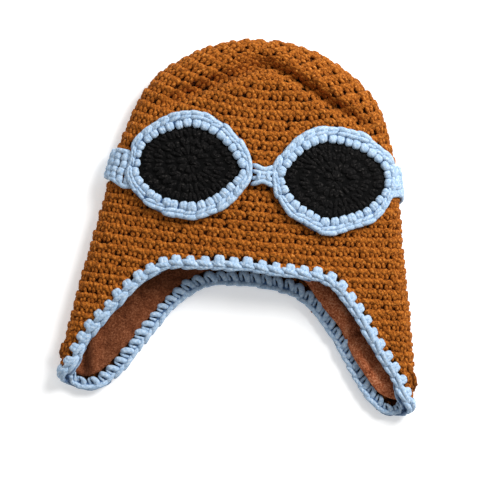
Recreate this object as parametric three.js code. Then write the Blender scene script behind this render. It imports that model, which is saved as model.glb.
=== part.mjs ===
// A child's crocheted aviator hat with goggles, lying on its back on a flat surface.
// Millimetres, +Z up. The front of the hat faces up, its crown points along +Y and its
// two ear flaps along -Y. The hat is a flattened tube: a flat back layer, a swelled
// front layer and a rounded fold down each side.

import * as THREE from 'three';

// Driving dimensions
const STRAP_LINE_Y = 38; // height of the goggle strap above the drawing's zero
const HEAD_HALF_WIDTH = 110; // half of the flat width at the goggles
const CROWN_RISE = 109; // strap line to the top of the crown
const FLAP_DROP = 158.5; // strap line to the tips of the ear flaps
const FOLD_RADIUS = 10; // outside radius of the side folds
const FRONT_SWELL = 16; // how far the front layer swells above its folds
const YARN_WALL = 4.5; // thickness of the crocheted cloth
const LINING_GAP = 0.3; // between the cloth and its lining
const LINING_WALL = 2; // thickness of the fleece
const LINING_SHORT = 8; // how far the lining's hem stops above the cloth's edge
const HEM_WAVE = 1.6; // how far the loose hem wanders up and down

const CROWN_FOLD_INSET = 20; // from the top of the crown down to the bottom of its fold
const CROWN_FOLD_MIDDLE = 1; // how far right of the middle the fold is highest
const CROWN_FOLD_SLOPE = 0.55; // how steeply it falls away to both sides
const CROWN_FOLD_ROUND = 8; // how softly it turns over at its highest point
const CROWN_FOLD_DEPTH = 8.5; // how deep the fold is
const CROWN_FOLD_SPREAD = 4.6; // how wide the valley is
const CROWN_RIDGE_STEP = 7; // from the bottom of the fold on to the ridge inside it
const CROWN_RIDGE_RISE = 3; // how far the ridge stands up
const CROWN_RIDGE_SPREAD = 6; // how wide the ridge is
const CROWN_FOLD_ARC = 50; // degrees that the fold runs to each side of the top
const CROWN_FOLD_FADE = 14; // degrees over which it dies away

const TRIM_HEIGHT = 6.2; // how far the blue edging stands below the cloth's edge
const TRIM_GAP = 0.95; // from the cloth's edge, which its facets cut off straight
const SEAT_GAP = 0.3; // between touching pieces
const END_GAP = 0.5; // between pieces that meet along a curved edge

const LENS_HALF_WIDTH = 36;
const LENS_HALF_HEIGHT = 27;
const LENS_EDGE_HEIGHT = 2.6; // how far a lens stands at its edge
const LENS_DOME = 1; // and how much more at its middle
const FRAME_WIDTH = 12; // across one side of a goggle frame
const FRAME_HEIGHT = 5.2; // how far a frame stands above the cloth
const GOGGLE_GAP = 0.8; // under lenses, frames and bridge, clear of the cloth's facets
const LEFT_LENS_X = -47.8;
const LEFT_LENS_Y = 50;
const RIGHT_LENS_X = 56.4;
const RIGHT_LENS_Y = 48;
const BRIDGE_HEIGHT = 4.6;
const BRIDGE_LOW_Y = 39.5;
const BRIDGE_TOP_Y = 54.5;
const STRAP_THICKNESS = 3;
const STRAP_WIDTH = 20;
const STRAP_MIDDLE_Y = 45; // height of the strap's middle where it crosses the side folds
const STRAP_ROW_PITCH = 9.4; // how far apart the rows lie there
const STRAP_RIGHT_RISE = 6.5; // how much higher it leaves the frame on the right
const STRAP_FALLS_FROM = 0.4; // how far round the right fold it starts to come down again
const STRAP_FALLS_TO = 0.8; // and how far round it has
const CHANNEL_MARGIN = 1.4; // by which the channel under the strap is wider on each side
const CHANNEL_RAMP = 6.1; // over which the channel rises beside it

const FLAP_TOP_ROW = 22; // rows between which the flaps' gauge is taken
const FLAP_END_ROW = 38;

const YARN_ROUGHNESS = 0.9;
const FLEECE_ROUGHNESS = 0.95;
const RUST = 0x9c5a1e;
const LIGHT_BLUE = 0xb9d3ea;
const BLACK = 0x151515;
const BROWN = 0x6b3519;

// How finely the facets are cut
const FRONT_COLUMNS = 10; // across half of the front layer
const FOLD_COLUMNS = 5; // round one side fold
const BACK_COLUMNS = 9; // across half of the back layer
const TRIM_SIDES = 8;
const TRIM_FLATS = Math.cos(Math.PI / TRIM_SIDES); // so that its flats reach its full size
const GOGGLE_STEPS = 40;
const ROWS_TO_RIM = 5; // rings between the strap and the rim
const RINGS_TO_RIM_EASE = 1.9; // above 1 they lie closer towards the rim
const NORMAL_STEP = 0.02; // laps and rows to each side that a slope is taken over
const RIM_STEP = 0.05; // laps to each side that the rim's direction is taken over
const POLE_ROW = 0.05; // nearer the crown's centre than this the hat faces straight up it
const HALVINGS = 30; // for a place that is found by halving

// One line for each section of the flattened tube, from the crown's centre to the flap
// tips. row counts crochet rows. width is a share of HEAD_HALF_WIDTH. fold, front and
// back are heights on the strap line at the side fold and at the middle of each layer:
// shares of CROWN_RISE above it, and of FLAP_DROP below it where negative. roll and mid
// are shares of FOLD_RADIUS, swell of FRONT_SWELL.
const SECTIONS = [
  { row: 0, width: 0.0, fold: 1.0, front: 1.0, back: 1.0, roll: 0.0, mid: 0.8, swell: 0.0 },
  { row: 1, width: 0.086, fold: 0.995, front: 0.97, back: 0.972, roll: 0.76, mid: 0.86, swell: 0.0 },
  { row: 2, width: 0.173, fold: 0.984, front: 0.905, back: 0.908, roll: 1.0, mid: 1.0, swell: 0.0 },
  { row: 4, width: 0.336, fold: 0.939, front: 0.826, back: 0.844, roll: 1.0, mid: 1.0, swell: 0.25 },
  { row: 6, width: 0.495, fold: 0.866, front: 0.738, back: 0.752, roll: 1.0, mid: 1.0, swell: 0.55 },
  { row: 9, width: 0.714, fold: 0.697, front: 0.55, back: 0.555, roll: 1.0, mid: 1.0, swell: 0.8 },
  { row: 12, width: 0.835, fold: 0.495, front: 0.349, back: 0.358, roll: 1.0, mid: 1.0, swell: 0.94 },
  { row: 15, width: 0.918, fold: 0.257, front: 0.147, back: 0.156, roll: 1.0, mid: 1.0, swell: 1.0 },
  { row: 18, width: 0.973, fold: 0.0, front: -0.038, back: -0.028, roll: 1.0, mid: 1.0, swell: 1.0 },
  { row: 22, width: 1.018, fold: -0.189, front: -0.221, back: -0.211, roll: 1.0, mid: 1.0, swell: 0.98 },
  { row: 26, width: 1.073, fold: -0.379, front: -0.404, back: -0.396, roll: 1.0, mid: 1.0, swell: 0.94 },
  { row: 30, width: 1.125, fold: -0.568, front: -0.587, back: -0.58, roll: 1.0, mid: 1.0, swell: 0.75 },
  { row: 34, width: 1.168, fold: -0.757, front: -0.773, back: -0.766, roll: 0.96, mid: 0.96, swell: 0.5 },
  { row: 37, width: 1.183, fold: -0.899, front: -0.912, back: -0.905, roll: 0.93, mid: 0.93, swell: 0.35 },
  { row: 38, width: 1.163, fold: -0.946, front: -0.959, back: -0.952, roll: 0.92, mid: 0.92, swell: 0.3 },
  { row: 39, width: 1.1, fold: -0.993, front: -1.005, back: -0.998, roll: 0.91, mid: 0.91, swell: 0.27 },
  { row: 42, width: 0.9, fold: -1.135, front: -1.145, back: -1.138, roll: 0.9, mid: 0.9, swell: 0.2 },
];

// The edge of the crocheted cloth. reach is a share of the way from the middle of a
// layer out to its fold, and the other columns are shares of FLAP_DROP below the strap
// line, for the left and right halves of the front and back layers.
const RIM = [
  { reach: 0.0, frontLeft: 0.343, frontRight: 0.343, backLeft: 0.415, backRight: 0.415 },
  { reach: 0.2, frontLeft: 0.349, frontRight: 0.352, backLeft: 0.426, backRight: 0.424 },
  { reach: 0.3, frontLeft: 0.351, frontRight: 0.353, backLeft: 0.448, backRight: 0.438 },
  { reach: 0.4, frontLeft: 0.354, frontRight: 0.356, backLeft: 0.498, backRight: 0.469 },
  { reach: 0.5, frontLeft: 0.362, frontRight: 0.361, backLeft: 0.576, backRight: 0.531 },
  { reach: 0.6, frontLeft: 0.384, frontRight: 0.387, backLeft: 0.695, backRight: 0.625 },
  { reach: 0.7, frontLeft: 0.441, frontRight: 0.459, backLeft: 0.838, backRight: 0.746 },
  { reach: 0.8, frontLeft: 0.529, frontRight: 0.566, backLeft: 0.926, backRight: 0.867 },
  { reach: 0.9, frontLeft: 0.645, frontRight: 0.7, backLeft: 0.957, backRight: 0.936 },
  { reach: 0.97, frontLeft: 0.752, frontRight: 0.781, backLeft: 0.959, backRight: 0.953 },
  { reach: 1.0, frontLeft: 0.82, frontRight: 0.815, backLeft: 0.95, backRight: 0.95 },
];

// The waves of the lining's loose hem: how many go once round, how high each is as a
// share of HEM_WAVE and the angle that it starts at.
const HEM_WAVES = [
  { around: 11, share: 1, start: 0 },
  { around: 22, share: 0.6, start: 1 },
];

// The outline of a lens, once round from its outer end over the top. out is a share of
// LENS_HALF_WIDTH towards the nose, up of LENS_HALF_HEIGHT, and rim is the width of the
// frame beside it as a share of FRAME_WIDTH.
const LEFT_LENS = [
  { out: -1.0, up: -0.07, rim: 0.66 },
  { out: -0.93, up: 0.37, rim: 0.72 },
  { out: -0.55, up: 0.78, rim: 0.92 },
  { out: 0.0, up: 0.99, rim: 1.05 },
  { out: 0.51, up: 0.76, rim: 0.97 },
  { out: 0.87, up: 0.28, rim: 0.98 },
  { out: 1.0, up: -0.07, rim: 0.8 },
  { out: 0.84, up: -0.37, rim: 0.94 },
  { out: 0.54, up: -0.76, rim: 1.05 },
  { out: 0.1, up: -1.0, rim: 1.08 },
  { out: -0.5, up: -0.9, rim: 1.0 },
  { out: -0.92, up: -0.5, rim: 0.92 },
];
const RIGHT_LENS = [
  { out: -1.0, up: 0.02, rim: 0.62 },
  { out: -0.95, up: 0.4, rim: 0.72 },
  { out: -0.67, up: 0.72, rim: 1.0 },
  { out: -0.22, up: 0.95, rim: 1.04 },
  { out: 0.26, up: 0.97, rim: 1.04 },
  { out: 0.6, up: 0.74, rim: 1.02 },
  { out: 0.84, up: 0.4, rim: 0.96 },
  { out: 1.0, up: -0.06, rim: 0.82 },
  { out: 0.74, up: -0.6, rim: 0.98 },
  { out: 0.42, up: -0.84, rim: 1.04 },
  { out: 0.04, up: -1.0, rim: 1.04 },
  { out: -0.6, up: -0.7, rim: 0.98 },
  { out: -0.88, up: -0.34, rim: 0.86 },
];

// Cross-section of a goggle frame. across runs from its inner to its outer edge, and
// rise is a share of its height.
const FRAME_SECTION = [
  { across: 0.0, rise: 0.0 },
  { across: 0.0, rise: 0.62 },
  { across: 0.22, rise: 1.0 },
  { across: 0.5, rise: 0.9 },
  { across: 0.78, rise: 1.0 },
  { across: 1.0, rise: 0.55 },
  { across: 1.0, rise: 0.0 },
  { across: 0.66, rise: 0.0 },
  { across: 0.33, rise: 0.0 },
];

// Places round the flattened tube are counted by lap: 0 is the middle of the front, 1
// and 2 the ends of the right fold, 3 the middle of the back, 4 and 5 the ends of the
// left fold, and 6 the middle of the front again.
const RIGHT_FOLD_START = 1;
const RIGHT_FOLD_END = 2;
const LEFT_FOLD_START = 4;
const LAP_END = 6;

// Values between the lines of a table, on a smooth curve through them that never
// swings past them.
function blend(table, key, column, at) {
  const last = table.length - 1;
  let i = 0;
  while (i < last - 1 && table[i + 1][key] < at) {
    i += 1;
  }
  const value = (n) => table[Math.min(Math.max(n, 0), last)][column];
  const place = (n) => table[Math.min(Math.max(n, 0), last)][key];
  const slope = (n) => {
    const turns = (value(n + 1) - value(n)) * (value(n) - value(n - 1)) <= 0;
    return turns ? 0 : (value(n + 1) - value(n - 1)) / (place(n + 1) - place(n - 1));
  };
  const run = place(i + 1) - place(i);
  const t = Math.min(Math.max((at - place(i)) / run, 0), 1);
  const t2 = t * t;
  const t3 = t2 * t;
  return (
    value(i) * (2 * t3 - 3 * t2 + 1) +
    slope(i) * run * (t3 - 2 * t2 + t) +
    value(i + 1) * (3 * t2 - 2 * t3) +
    slope(i + 1) * run * (t3 - t2)
  );
}

function smooth(low, high, value) {
  const t = Math.min(Math.max((value - low) / (high - low), 0), 1);
  return t * t * (3 - 2 * t);
}

function levelY(share) {
  return STRAP_LINE_Y + share * (share > 0 ? CROWN_RISE : FLAP_DROP);
}

// The side of the hat, and the lap counted out from the middle of the front to it.
function sideOf(lap) {
  const turn = ((lap % LAP_END) + LAP_END) % LAP_END;
  return turn <= LAP_END / 2 ? { side: 1, half: turn } : { side: -1, half: LAP_END - turn };
}

// How far round the side fold a place is: 0 on the front, half a turn on the back.
function foldAngle(half) {
  return Math.PI * Math.min(Math.max(half - 1, 0), 1);
}

// The fold like a low gable that dents the crown, and the ridge inside it.
function crownDent(x, y) {
  const degrees = Math.abs(THREE.MathUtils.radToDeg(Math.atan2(x, y - STRAP_LINE_Y)));
  const along = 1 - smooth(CROWN_FOLD_ARC - CROWN_FOLD_FADE, CROWN_FOLD_ARC + CROWN_FOLD_FADE, degrees);
  const aside = Math.hypot(x - CROWN_FOLD_MIDDLE, CROWN_FOLD_ROUND) - CROWN_FOLD_ROUND;
  const foldY = STRAP_LINE_Y + CROWN_RISE - CROWN_FOLD_INSET - CROWN_FOLD_SLOPE * aside;
  const past = (foldY - y) / Math.hypot(1, CROWN_FOLD_SLOPE);
  const valley = Math.exp(-((past / CROWN_FOLD_SPREAD) ** 2));
  const ridge = Math.exp(-(((past - CROWN_RIDGE_STEP) / CROWN_RIDGE_SPREAD) ** 2));
  return along * (CROWN_RIDGE_RISE * ridge - CROWN_FOLD_DEPTH * valley);
}

// The row whose side folds lie at a height, found by halving.
function rowAtFold(y) {
  let low = SECTIONS[0].row;
  let high = SECTIONS.at(-1).row;
  for (let i = 0; i < HALVINGS; i += 1) {
    const middle = (low + high) / 2;
    if (levelY(blend(SECTIONS, 'row', 'fold', middle)) > y) {
      low = middle;
    } else {
      high = middle;
    }
  }
  return (low + high) / 2;
}

// The strap and its channel, in rows.
const STRAP_ROW = rowAtFold(STRAP_MIDDLE_Y);
const STRAP_HALF_ROWS = STRAP_WIDTH / 2 / STRAP_ROW_PITCH;
const CHANNEL_BOTTOM = STRAP_HALF_ROWS + CHANNEL_MARGIN / STRAP_ROW_PITCH;
const CHANNEL_TOP = CHANNEL_BOTTOM + CHANNEL_RAMP / STRAP_ROW_PITCH;

// The rows by which the strap lies higher at a lap. The rise dies away on the first part
// of the right fold, before the strap goes into its channel.
function strapRise(lap) {
  const round = (lap - RIGHT_FOLD_START) / (RIGHT_FOLD_END - RIGHT_FOLD_START);
  return STRAP_RIGHT_RISE / STRAP_ROW_PITCH * (1 - smooth(STRAP_FALLS_FROM, STRAP_FALLS_TO, round));
}

// The shallow channel in the back that the strap lies in, so that both rest flat.
function strapChannel(row) {
  const away = Math.abs(row - STRAP_ROW);
  return (STRAP_THICKNESS + SEAT_GAP) * (1 - smooth(CHANNEL_BOTTOM, CHANNEL_TOP, away));
}

// A point on the outside of the hat before its crown is dented and its back pressed in.
function plump(lap, row) {
  const width = blend(SECTIONS, 'row', 'width', row) * HEAD_HALF_WIDTH;
  const roll = Math.min(blend(SECTIONS, 'row', 'roll', row) * FOLD_RADIUS, width);
  const mid = blend(SECTIONS, 'row', 'mid', row) * FOLD_RADIUS;
  const swell = blend(SECTIONS, 'row', 'swell', row) * FRONT_SWELL;
  const foldY = levelY(blend(SECTIONS, 'row', 'fold', row));
  const frontY = levelY(blend(SECTIONS, 'row', 'front', row));
  const backY = levelY(blend(SECTIONS, 'row', 'back', row));
  const flat = width - roll;
  const { side, half } = sideOf(lap);
  const angle = foldAngle(half);
  const reach = half < 1 ? half : half > 2 ? 3 - half : 1;
  const x = side * (flat * reach + roll * Math.sin(angle));
  const facing = Math.cos(angle);
  const bow = width > 0 ? 1 - (x / width) ** 2 : 1;
  const layerY = facing > 0 ? frontY : backY;
  const y = foldY + (layerY - foldY) * Math.abs(facing) * bow;
  const z = mid + roll * facing + Math.max(facing, 0) * swell * bow;
  return new THREE.Vector3(x, y, z);
}

// The way that the plump outside faces there.
function outward(lap, row) {
  if (row < POLE_ROW) {
    return new THREE.Vector3(0, 1, 0);
  }
  const along = plump(lap + NORMAL_STEP, row).sub(plump(lap - NORMAL_STEP, row));
  const down = plump(lap, row + NORMAL_STEP).sub(plump(lap, row - NORMAL_STEP));
  return along.cross(down).normalize().negate();
}

// A point at a depth under the outside, or above it where the depth is negative. Dents
// move every layer of the wall straight up or down together.
function under(lap, row, depth) {
  const point = plump(lap, row);
  const facing = Math.cos(foldAngle(sideOf(lap).half));
  const lift = facing > 0 ? facing * crownDent(point.x, point.y) : -facing * strapChannel(row);
  point.addScaledVector(outward(lap, row), -depth);
  point.z += lift;
  return point;
}

// Height of the cloth's edge at a place round the hat.
function rimY(lap) {
  const { side, half } = sideOf(lap);
  const front = side < 0 ? 'frontLeft' : 'frontRight';
  const back = side < 0 ? 'backLeft' : 'backRight';
  let drop;
  if (half <= 1) {
    drop = blend(RIM, 'reach', front, half);
  } else if (half >= 2) {
    drop = blend(RIM, 'reach', back, 3 - half);
  } else {
    const last = RIM.at(-1);
    drop = last[front] + (last[back] - last[front]) * Math.sqrt(Math.sin(foldAngle(half) / 2));
  }
  return STRAP_LINE_Y - drop * FLAP_DROP;
}

// The row at which a lap meets the edge, found by halving.
function rimRow(lap) {
  let low = SECTIONS[0].row;
  let high = SECTIONS.at(-1).row;
  for (let i = 0; i < HALVINGS; i += 1) {
    const middle = (low + high) / 2;
    if (plump(lap, middle).y > rimY(lap)) {
      low = middle;
    } else {
      high = middle;
    }
  }
  return (low + high) / 2;
}

function lapColumns() {
  const laps = [];
  const stretches = [FRONT_COLUMNS, FOLD_COLUMNS, BACK_COLUMNS, BACK_COLUMNS, FOLD_COLUMNS, FRONT_COLUMNS];
  stretches.forEach((count, lap) => {
    for (let i = 0; i < count; i += 1) {
      laps.push(lap + i / count);
    }
  });
  return laps;
}

// Turns all the faces round where they would enclose a negative volume.
function turned(points, faces) {
  let volume = 0;
  faces.forEach(([a, b, c]) => {
    volume += points[a].dot(new THREE.Vector3().crossVectors(points[b], points[c]));
  });
  return volume < 0 ? faces.map(([a, b, c]) => [a, c, b]) : faces;
}

function meshFrom(name, points, faces, colour, roughness) {
  const geometry = new THREE.BufferGeometry();
  const values = points.flatMap((p) => [p.x, p.y, p.z]);
  geometry.setAttribute('position', new THREE.Float32BufferAttribute(values, 3));
  geometry.setIndex(turned(points, faces).flat());
  geometry.computeVertexNormals();
  const material = new THREE.MeshStandardMaterial({ color: colour, roughness, metalness: 0 });
  const mesh = new THREE.Mesh(geometry, material);
  mesh.name = name;
  return mesh;
}

// Joins rings of equal length into quads. wrap closes the last ring to the first, and
// inward turns the faces round while each quad keeps the same diagonal.
function joinRings(faces, rings, wrap, inward = false) {
  const count = rings.length - (wrap ? 0 : 1);
  for (let i = 0; i < count; i += 1) {
    const a = rings[i];
    const b = rings[(i + 1) % rings.length];
    for (let j = 0; j < a.length; j += 1) {
      const n = (j + 1) % a.length;
      if (inward) {
        faces.push([a[j], b[n], a[n]], [a[j], b[j], b[n]]);
      } else {
        faces.push([a[j], a[n], b[n]], [a[j], b[n], b[j]]);
      }
    }
  }
}

// A cap-shaped wall between two depths under the outside, open at its rim. Walls that
// lie against each other share their laps and rows, so their facets lie parallel.
function shell(name, edgeOf, outer, inner, colour, roughness) {
  const laps = lapColumns();
  const points = [];
  const faces = [];
  const edges = laps.map(edgeOf);
  const layer = (depth) => {
    const pole = points.push(under(0, 0, depth)) - 1;
    const rings = CLOTH_ROWS.map((row) => laps.map((lap) => points.push(under(lap, row, depth)) - 1));
    const start = CLOTH_ROWS.at(-1);
    for (let i = 1; i <= ROWS_TO_RIM; i += 1) {
      const share = 1 - (1 - i / ROWS_TO_RIM) ** RINGS_TO_RIM_EASE;
      rings.push(laps.map((lap, n) => {
        const row = start + (edges[n] - start) * share;
        return points.push(under(lap, row, depth)) - 1;
      }));
    }
    return { pole, rings };
  };
  const skin = layer(outer);
  const back = layer(inner);
  const fan = (pole, ring, out) => {
    for (let j = 0; j < ring.length; j += 1) {
      const n = (j + 1) % ring.length;
      faces.push(out ? [pole, ring[n], ring[j]] : [pole, ring[j], ring[n]]);
    }
  };
  fan(skin.pole, skin.rings[0], true);
  fan(back.pole, back.rings[0], false);
  joinRings(faces, skin.rings, false);
  joinRings(faces, back.rings, false, true);
  joinRings(faces, [skin.rings.at(-1), back.rings.at(-1)], false);
  return meshFrom(name, points, faces, colour, roughness);
}

const CHANNEL_ROWS = [
  STRAP_ROW - CHANNEL_TOP,
  STRAP_ROW - CHANNEL_BOTTOM,
  STRAP_ROW + CHANNEL_BOTTOM,
  STRAP_ROW + CHANNEL_TOP,
];
const CLOTH_ROWS = [
  0.5, 1.1, 1.9, 2.7, 3.5, 4.4, 5.3, 6.4, 7.8, 9.4, 11.2, 13.4, ...CHANNEL_ROWS,
];

function knitBody() {
  return shell('knit_body', rimRow, 0, YARN_WALL, RUST, YARN_ROUGHNESS);
}

// The rows that a length down a flap spans.
function rowsFor(length) {
  const top = levelY(blend(SECTIONS, 'row', 'fold', FLAP_TOP_ROW));
  const end = levelY(blend(SECTIONS, 'row', 'fold', FLAP_END_ROW));
  return length * (FLAP_END_ROW - FLAP_TOP_ROW) / (top - end);
}

function hemRow(lap) {
  let wave = 0;
  HEM_WAVES.forEach(({ around, share, start }) => {
    wave += share * Math.sin(lap / LAP_END * around * 2 * Math.PI + start);
  });
  return rimRow(lap) - rowsFor(LINING_SHORT - HEM_WAVE * wave);
}

function fleeceLining() {
  const outer = YARN_WALL + LINING_GAP;
  return shell('fleece_lining', hemRow, outer, outer + LINING_WALL, BROWN, FLEECE_ROUGHNESS);
}

// The blue edging: a rounded band that hangs from the cloth's edge all the way round.
function edgeTrim() {
  const laps = lapColumns();
  const thickness = YARN_WALL + LINING_GAP + LINING_WALL;
  const points = [];
  const rimAt = (lap) => under(lap, rimRow(lap), thickness / 2);
  const rings = laps.map((lap) => {
    const seat = rimAt(lap);
    const along = rimAt(lap + RIM_STEP).sub(rimAt(lap - RIM_STEP)).normalize();
    const out = outward(lap, rimRow(lap));
    const down = new THREE.Vector3().crossVectors(out, along).normalize();
    const centre = seat.addScaledVector(down, -(TRIM_GAP + TRIM_HEIGHT / 2));
    const ring = [];
    for (let j = 0; j < TRIM_SIDES; j += 1) {
      const angle = (j + 0.5) / TRIM_SIDES * 2 * Math.PI;
      const point = centre.clone();
      point.addScaledVector(down, Math.cos(angle) * TRIM_HEIGHT / 2 / TRIM_FLATS);
      point.addScaledVector(out, Math.sin(angle) * thickness / 2 / TRIM_FLATS);
      ring.push(points.push(point) - 1);
    }
    return ring;
  });
  const faces = [];
  joinRings(faces, rings, true);
  return meshFrom('edge_trim', points, faces, LIGHT_BLUE, YARN_ROUGHNESS);
}

// The front surface over a place in plan: its lap, row and height.
function onFront(x, y) {
  let low = SECTIONS[1].row;
  let high = SECTIONS.at(-1).row;
  let lap = 0;
  for (let i = 0; i < HALVINGS; i += 1) {
    const row = (low + high) / 2;
    const width = blend(SECTIONS, 'row', 'width', row) * HEAD_HALF_WIDTH;
    const roll = blend(SECTIONS, 'row', 'roll', row) * FOLD_RADIUS;
    const reach = Math.abs(x) / (width - roll);
    const over = Math.min((Math.abs(x) - width + roll) / roll, 1);
    const half = reach <= 1 ? reach : 1 + Math.asin(over) / Math.PI;
    lap = x < 0 ? LAP_END - half : half;
    if (plump(lap, row).y > y) {
      low = row;
    } else {
      high = row;
    }
  }
  return { lap, row: (low + high) / 2 };
}

function above(x, y, height) {
  const { lap, row } = onFront(x, y);
  return under(lap, row, -height);
}

// The outline of a lens as a closed smooth curve of plan points, with the rim width in z.
function lensCurve(table, centreX, centreY, nose) {
  const points = table.map(({ out, up, rim }) => new THREE.Vector3(
    centreX + nose * out * LENS_HALF_WIDTH, centreY + up * LENS_HALF_HEIGHT, rim * FRAME_WIDTH,
  ));
  return new THREE.CatmullRomCurve3(points, true, 'centripetal');
}

// Points at equal steps along that curve, moved out by a share of the rim.
function outlineAt(curve, steps, share, extra) {
  const points = [];
  const nudge = 0.004;
  for (let i = 0; i < steps; i += 1) {
    const at = curve.getPointAt(i / steps);
    const after = curve.getPointAt((i / steps + nudge) % 1);
    const before = curve.getPointAt((i / steps - nudge + 1) % 1);
    const way = new THREE.Vector2(after.y - before.y, before.x - after.x).normalize();
    points.push({ x: at.x, y: at.y, wayX: way.x, wayY: way.y, offset: at.z * share + extra });
  }
  let turning = 0;
  points.forEach((p, i) => {
    const q = points[(i + 1) % points.length];
    turning += p.x * q.y - q.x * p.y;
  });
  const outward = turning > 0 ? 1 : -1;
  return points.map((p) => new THREE.Vector2(
    p.x + outward * p.wayX * p.offset, p.y + outward * p.wayY * p.offset,
  ));
}

function goggleFrame(name, curve) {
  const points = [];
  const rings = [];
  for (let i = 0; i < GOGGLE_STEPS; i += 1) {
    rings.push([]);
  }
  FRAME_SECTION.forEach(({ across, rise }) => {
    outlineAt(curve, GOGGLE_STEPS, across, 0).forEach((p, i) => {
      rings[i].push(points.push(above(p.x, p.y, GOGGLE_GAP + rise * FRAME_HEIGHT)) - 1);
    });
  });
  const faces = [];
  joinRings(faces, rings, true);
  return meshFrom(name, points, faces, LIGHT_BLUE, YARN_ROUGHNESS);
}

function lens(name, curve, centreX, centreY) {
  const points = [];
  const edge = outlineAt(curve, GOGGLE_STEPS, 0, -SEAT_GAP);
  const ringAt = (share, height) => edge.map((p) => {
    const x = centreX + (p.x - centreX) * share;
    const y = centreY + (p.y - centreY) * share;
    return points.push(above(x, y, GOGGLE_GAP + height)) - 1;
  });
  const halfway = 0.55;
  const rings = [
    ringAt(halfway, 0),
    ringAt(1, 0),
    ringAt(1, LENS_EDGE_HEIGHT),
    ringAt(halfway, LENS_EDGE_HEIGHT + LENS_DOME * (1 - halfway ** 2)),
  ];
  const faces = [];
  joinRings(faces, rings, false);
  const bottom = points.push(above(centreX, centreY, GOGGLE_GAP)) - 1;
  const top = points.push(above(centreX, centreY, GOGGLE_GAP + LENS_EDGE_HEIGHT + LENS_DOME)) - 1;
  for (let j = 0; j < GOGGLE_STEPS; j += 1) {
    const n = (j + 1) % GOGGLE_STEPS;
    faces.push([rings[3][j], rings[3][n], top]);
    faces.push([rings[0][n], rings[0][j], bottom]);
  }
  return meshFrom(name, points, faces, BLACK, YARN_ROUGHNESS);
}

// Where a frame's outer edge lies at a height, on its side towards +X or -X.
function frameEdgeX(curve, y, towards) {
  const ring = outlineAt(curve, GOGGLE_STEPS, 1, 0);
  let best = -Infinity;
  ring.forEach((p, i) => {
    const q = ring[(i + 1) % ring.length];
    if ((p.y - y) * (q.y - y) <= 0 && p.y !== q.y) {
      const x = p.x + (q.x - p.x) * (y - p.y) / (q.y - p.y);
      best = Math.max(best, towards * x);
    }
  });
  return towards * best;
}

function noseBridge(leftCurve, rightCurve) {
  const levels = 6;
  const acrossSteps = 3;
  const points = [];
  const grid = (height) => {
    const rows = [];
    for (let i = 0; i <= levels; i += 1) {
      const y = BRIDGE_LOW_Y + (BRIDGE_TOP_Y - BRIDGE_LOW_Y) * i / levels;
      const start = frameEdgeX(leftCurve, y, 1) + END_GAP;
      const end = frameEdgeX(rightCurve, y, -1) - END_GAP;
      const row = [];
      for (let j = 0; j <= acrossSteps; j += 1) {
        const x = start + (end - start) * j / acrossSteps;
        row.push(points.push(above(x, y, GOGGLE_GAP + height)) - 1);
      }
      rows.push(row);
    }
    return rows;
  };
  return slab('nose_bridge', points, grid(0), grid(BRIDGE_HEIGHT));
}

// A closed slab between two grids of the same size.
function slab(name, points, low, high) {
  const faces = [];
  const rows = low.length - 1;
  const columns = low[0].length - 1;
  for (let i = 0; i < rows; i += 1) {
    for (let j = 0; j < columns; j += 1) {
      faces.push([high[i][j], high[i][j + 1], high[i + 1][j + 1]]);
      faces.push([high[i][j], high[i + 1][j + 1], high[i + 1][j]]);
      faces.push([low[i][j], low[i + 1][j + 1], low[i][j + 1]]);
      faces.push([low[i][j], low[i + 1][j], low[i + 1][j + 1]]);
    }
  }
  const wall = (a, b, c, d) => faces.push([a, b, c], [a, c, d]);
  for (let j = 0; j < columns; j += 1) {
    wall(low[0][j], low[0][j + 1], high[0][j + 1], high[0][j]);
    wall(low[rows][j + 1], low[rows][j], high[rows][j], high[rows][j + 1]);
  }
  for (let i = 0; i < rows; i += 1) {
    wall(low[i + 1][0], low[i][0], high[i][0], high[i + 1][0]);
    wall(low[i][columns], low[i + 1][columns], high[i + 1][columns], high[i][columns]);
  }
  return meshFrom(name, points, faces, LIGHT_BLUE, YARN_ROUGHNESS);
}

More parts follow.
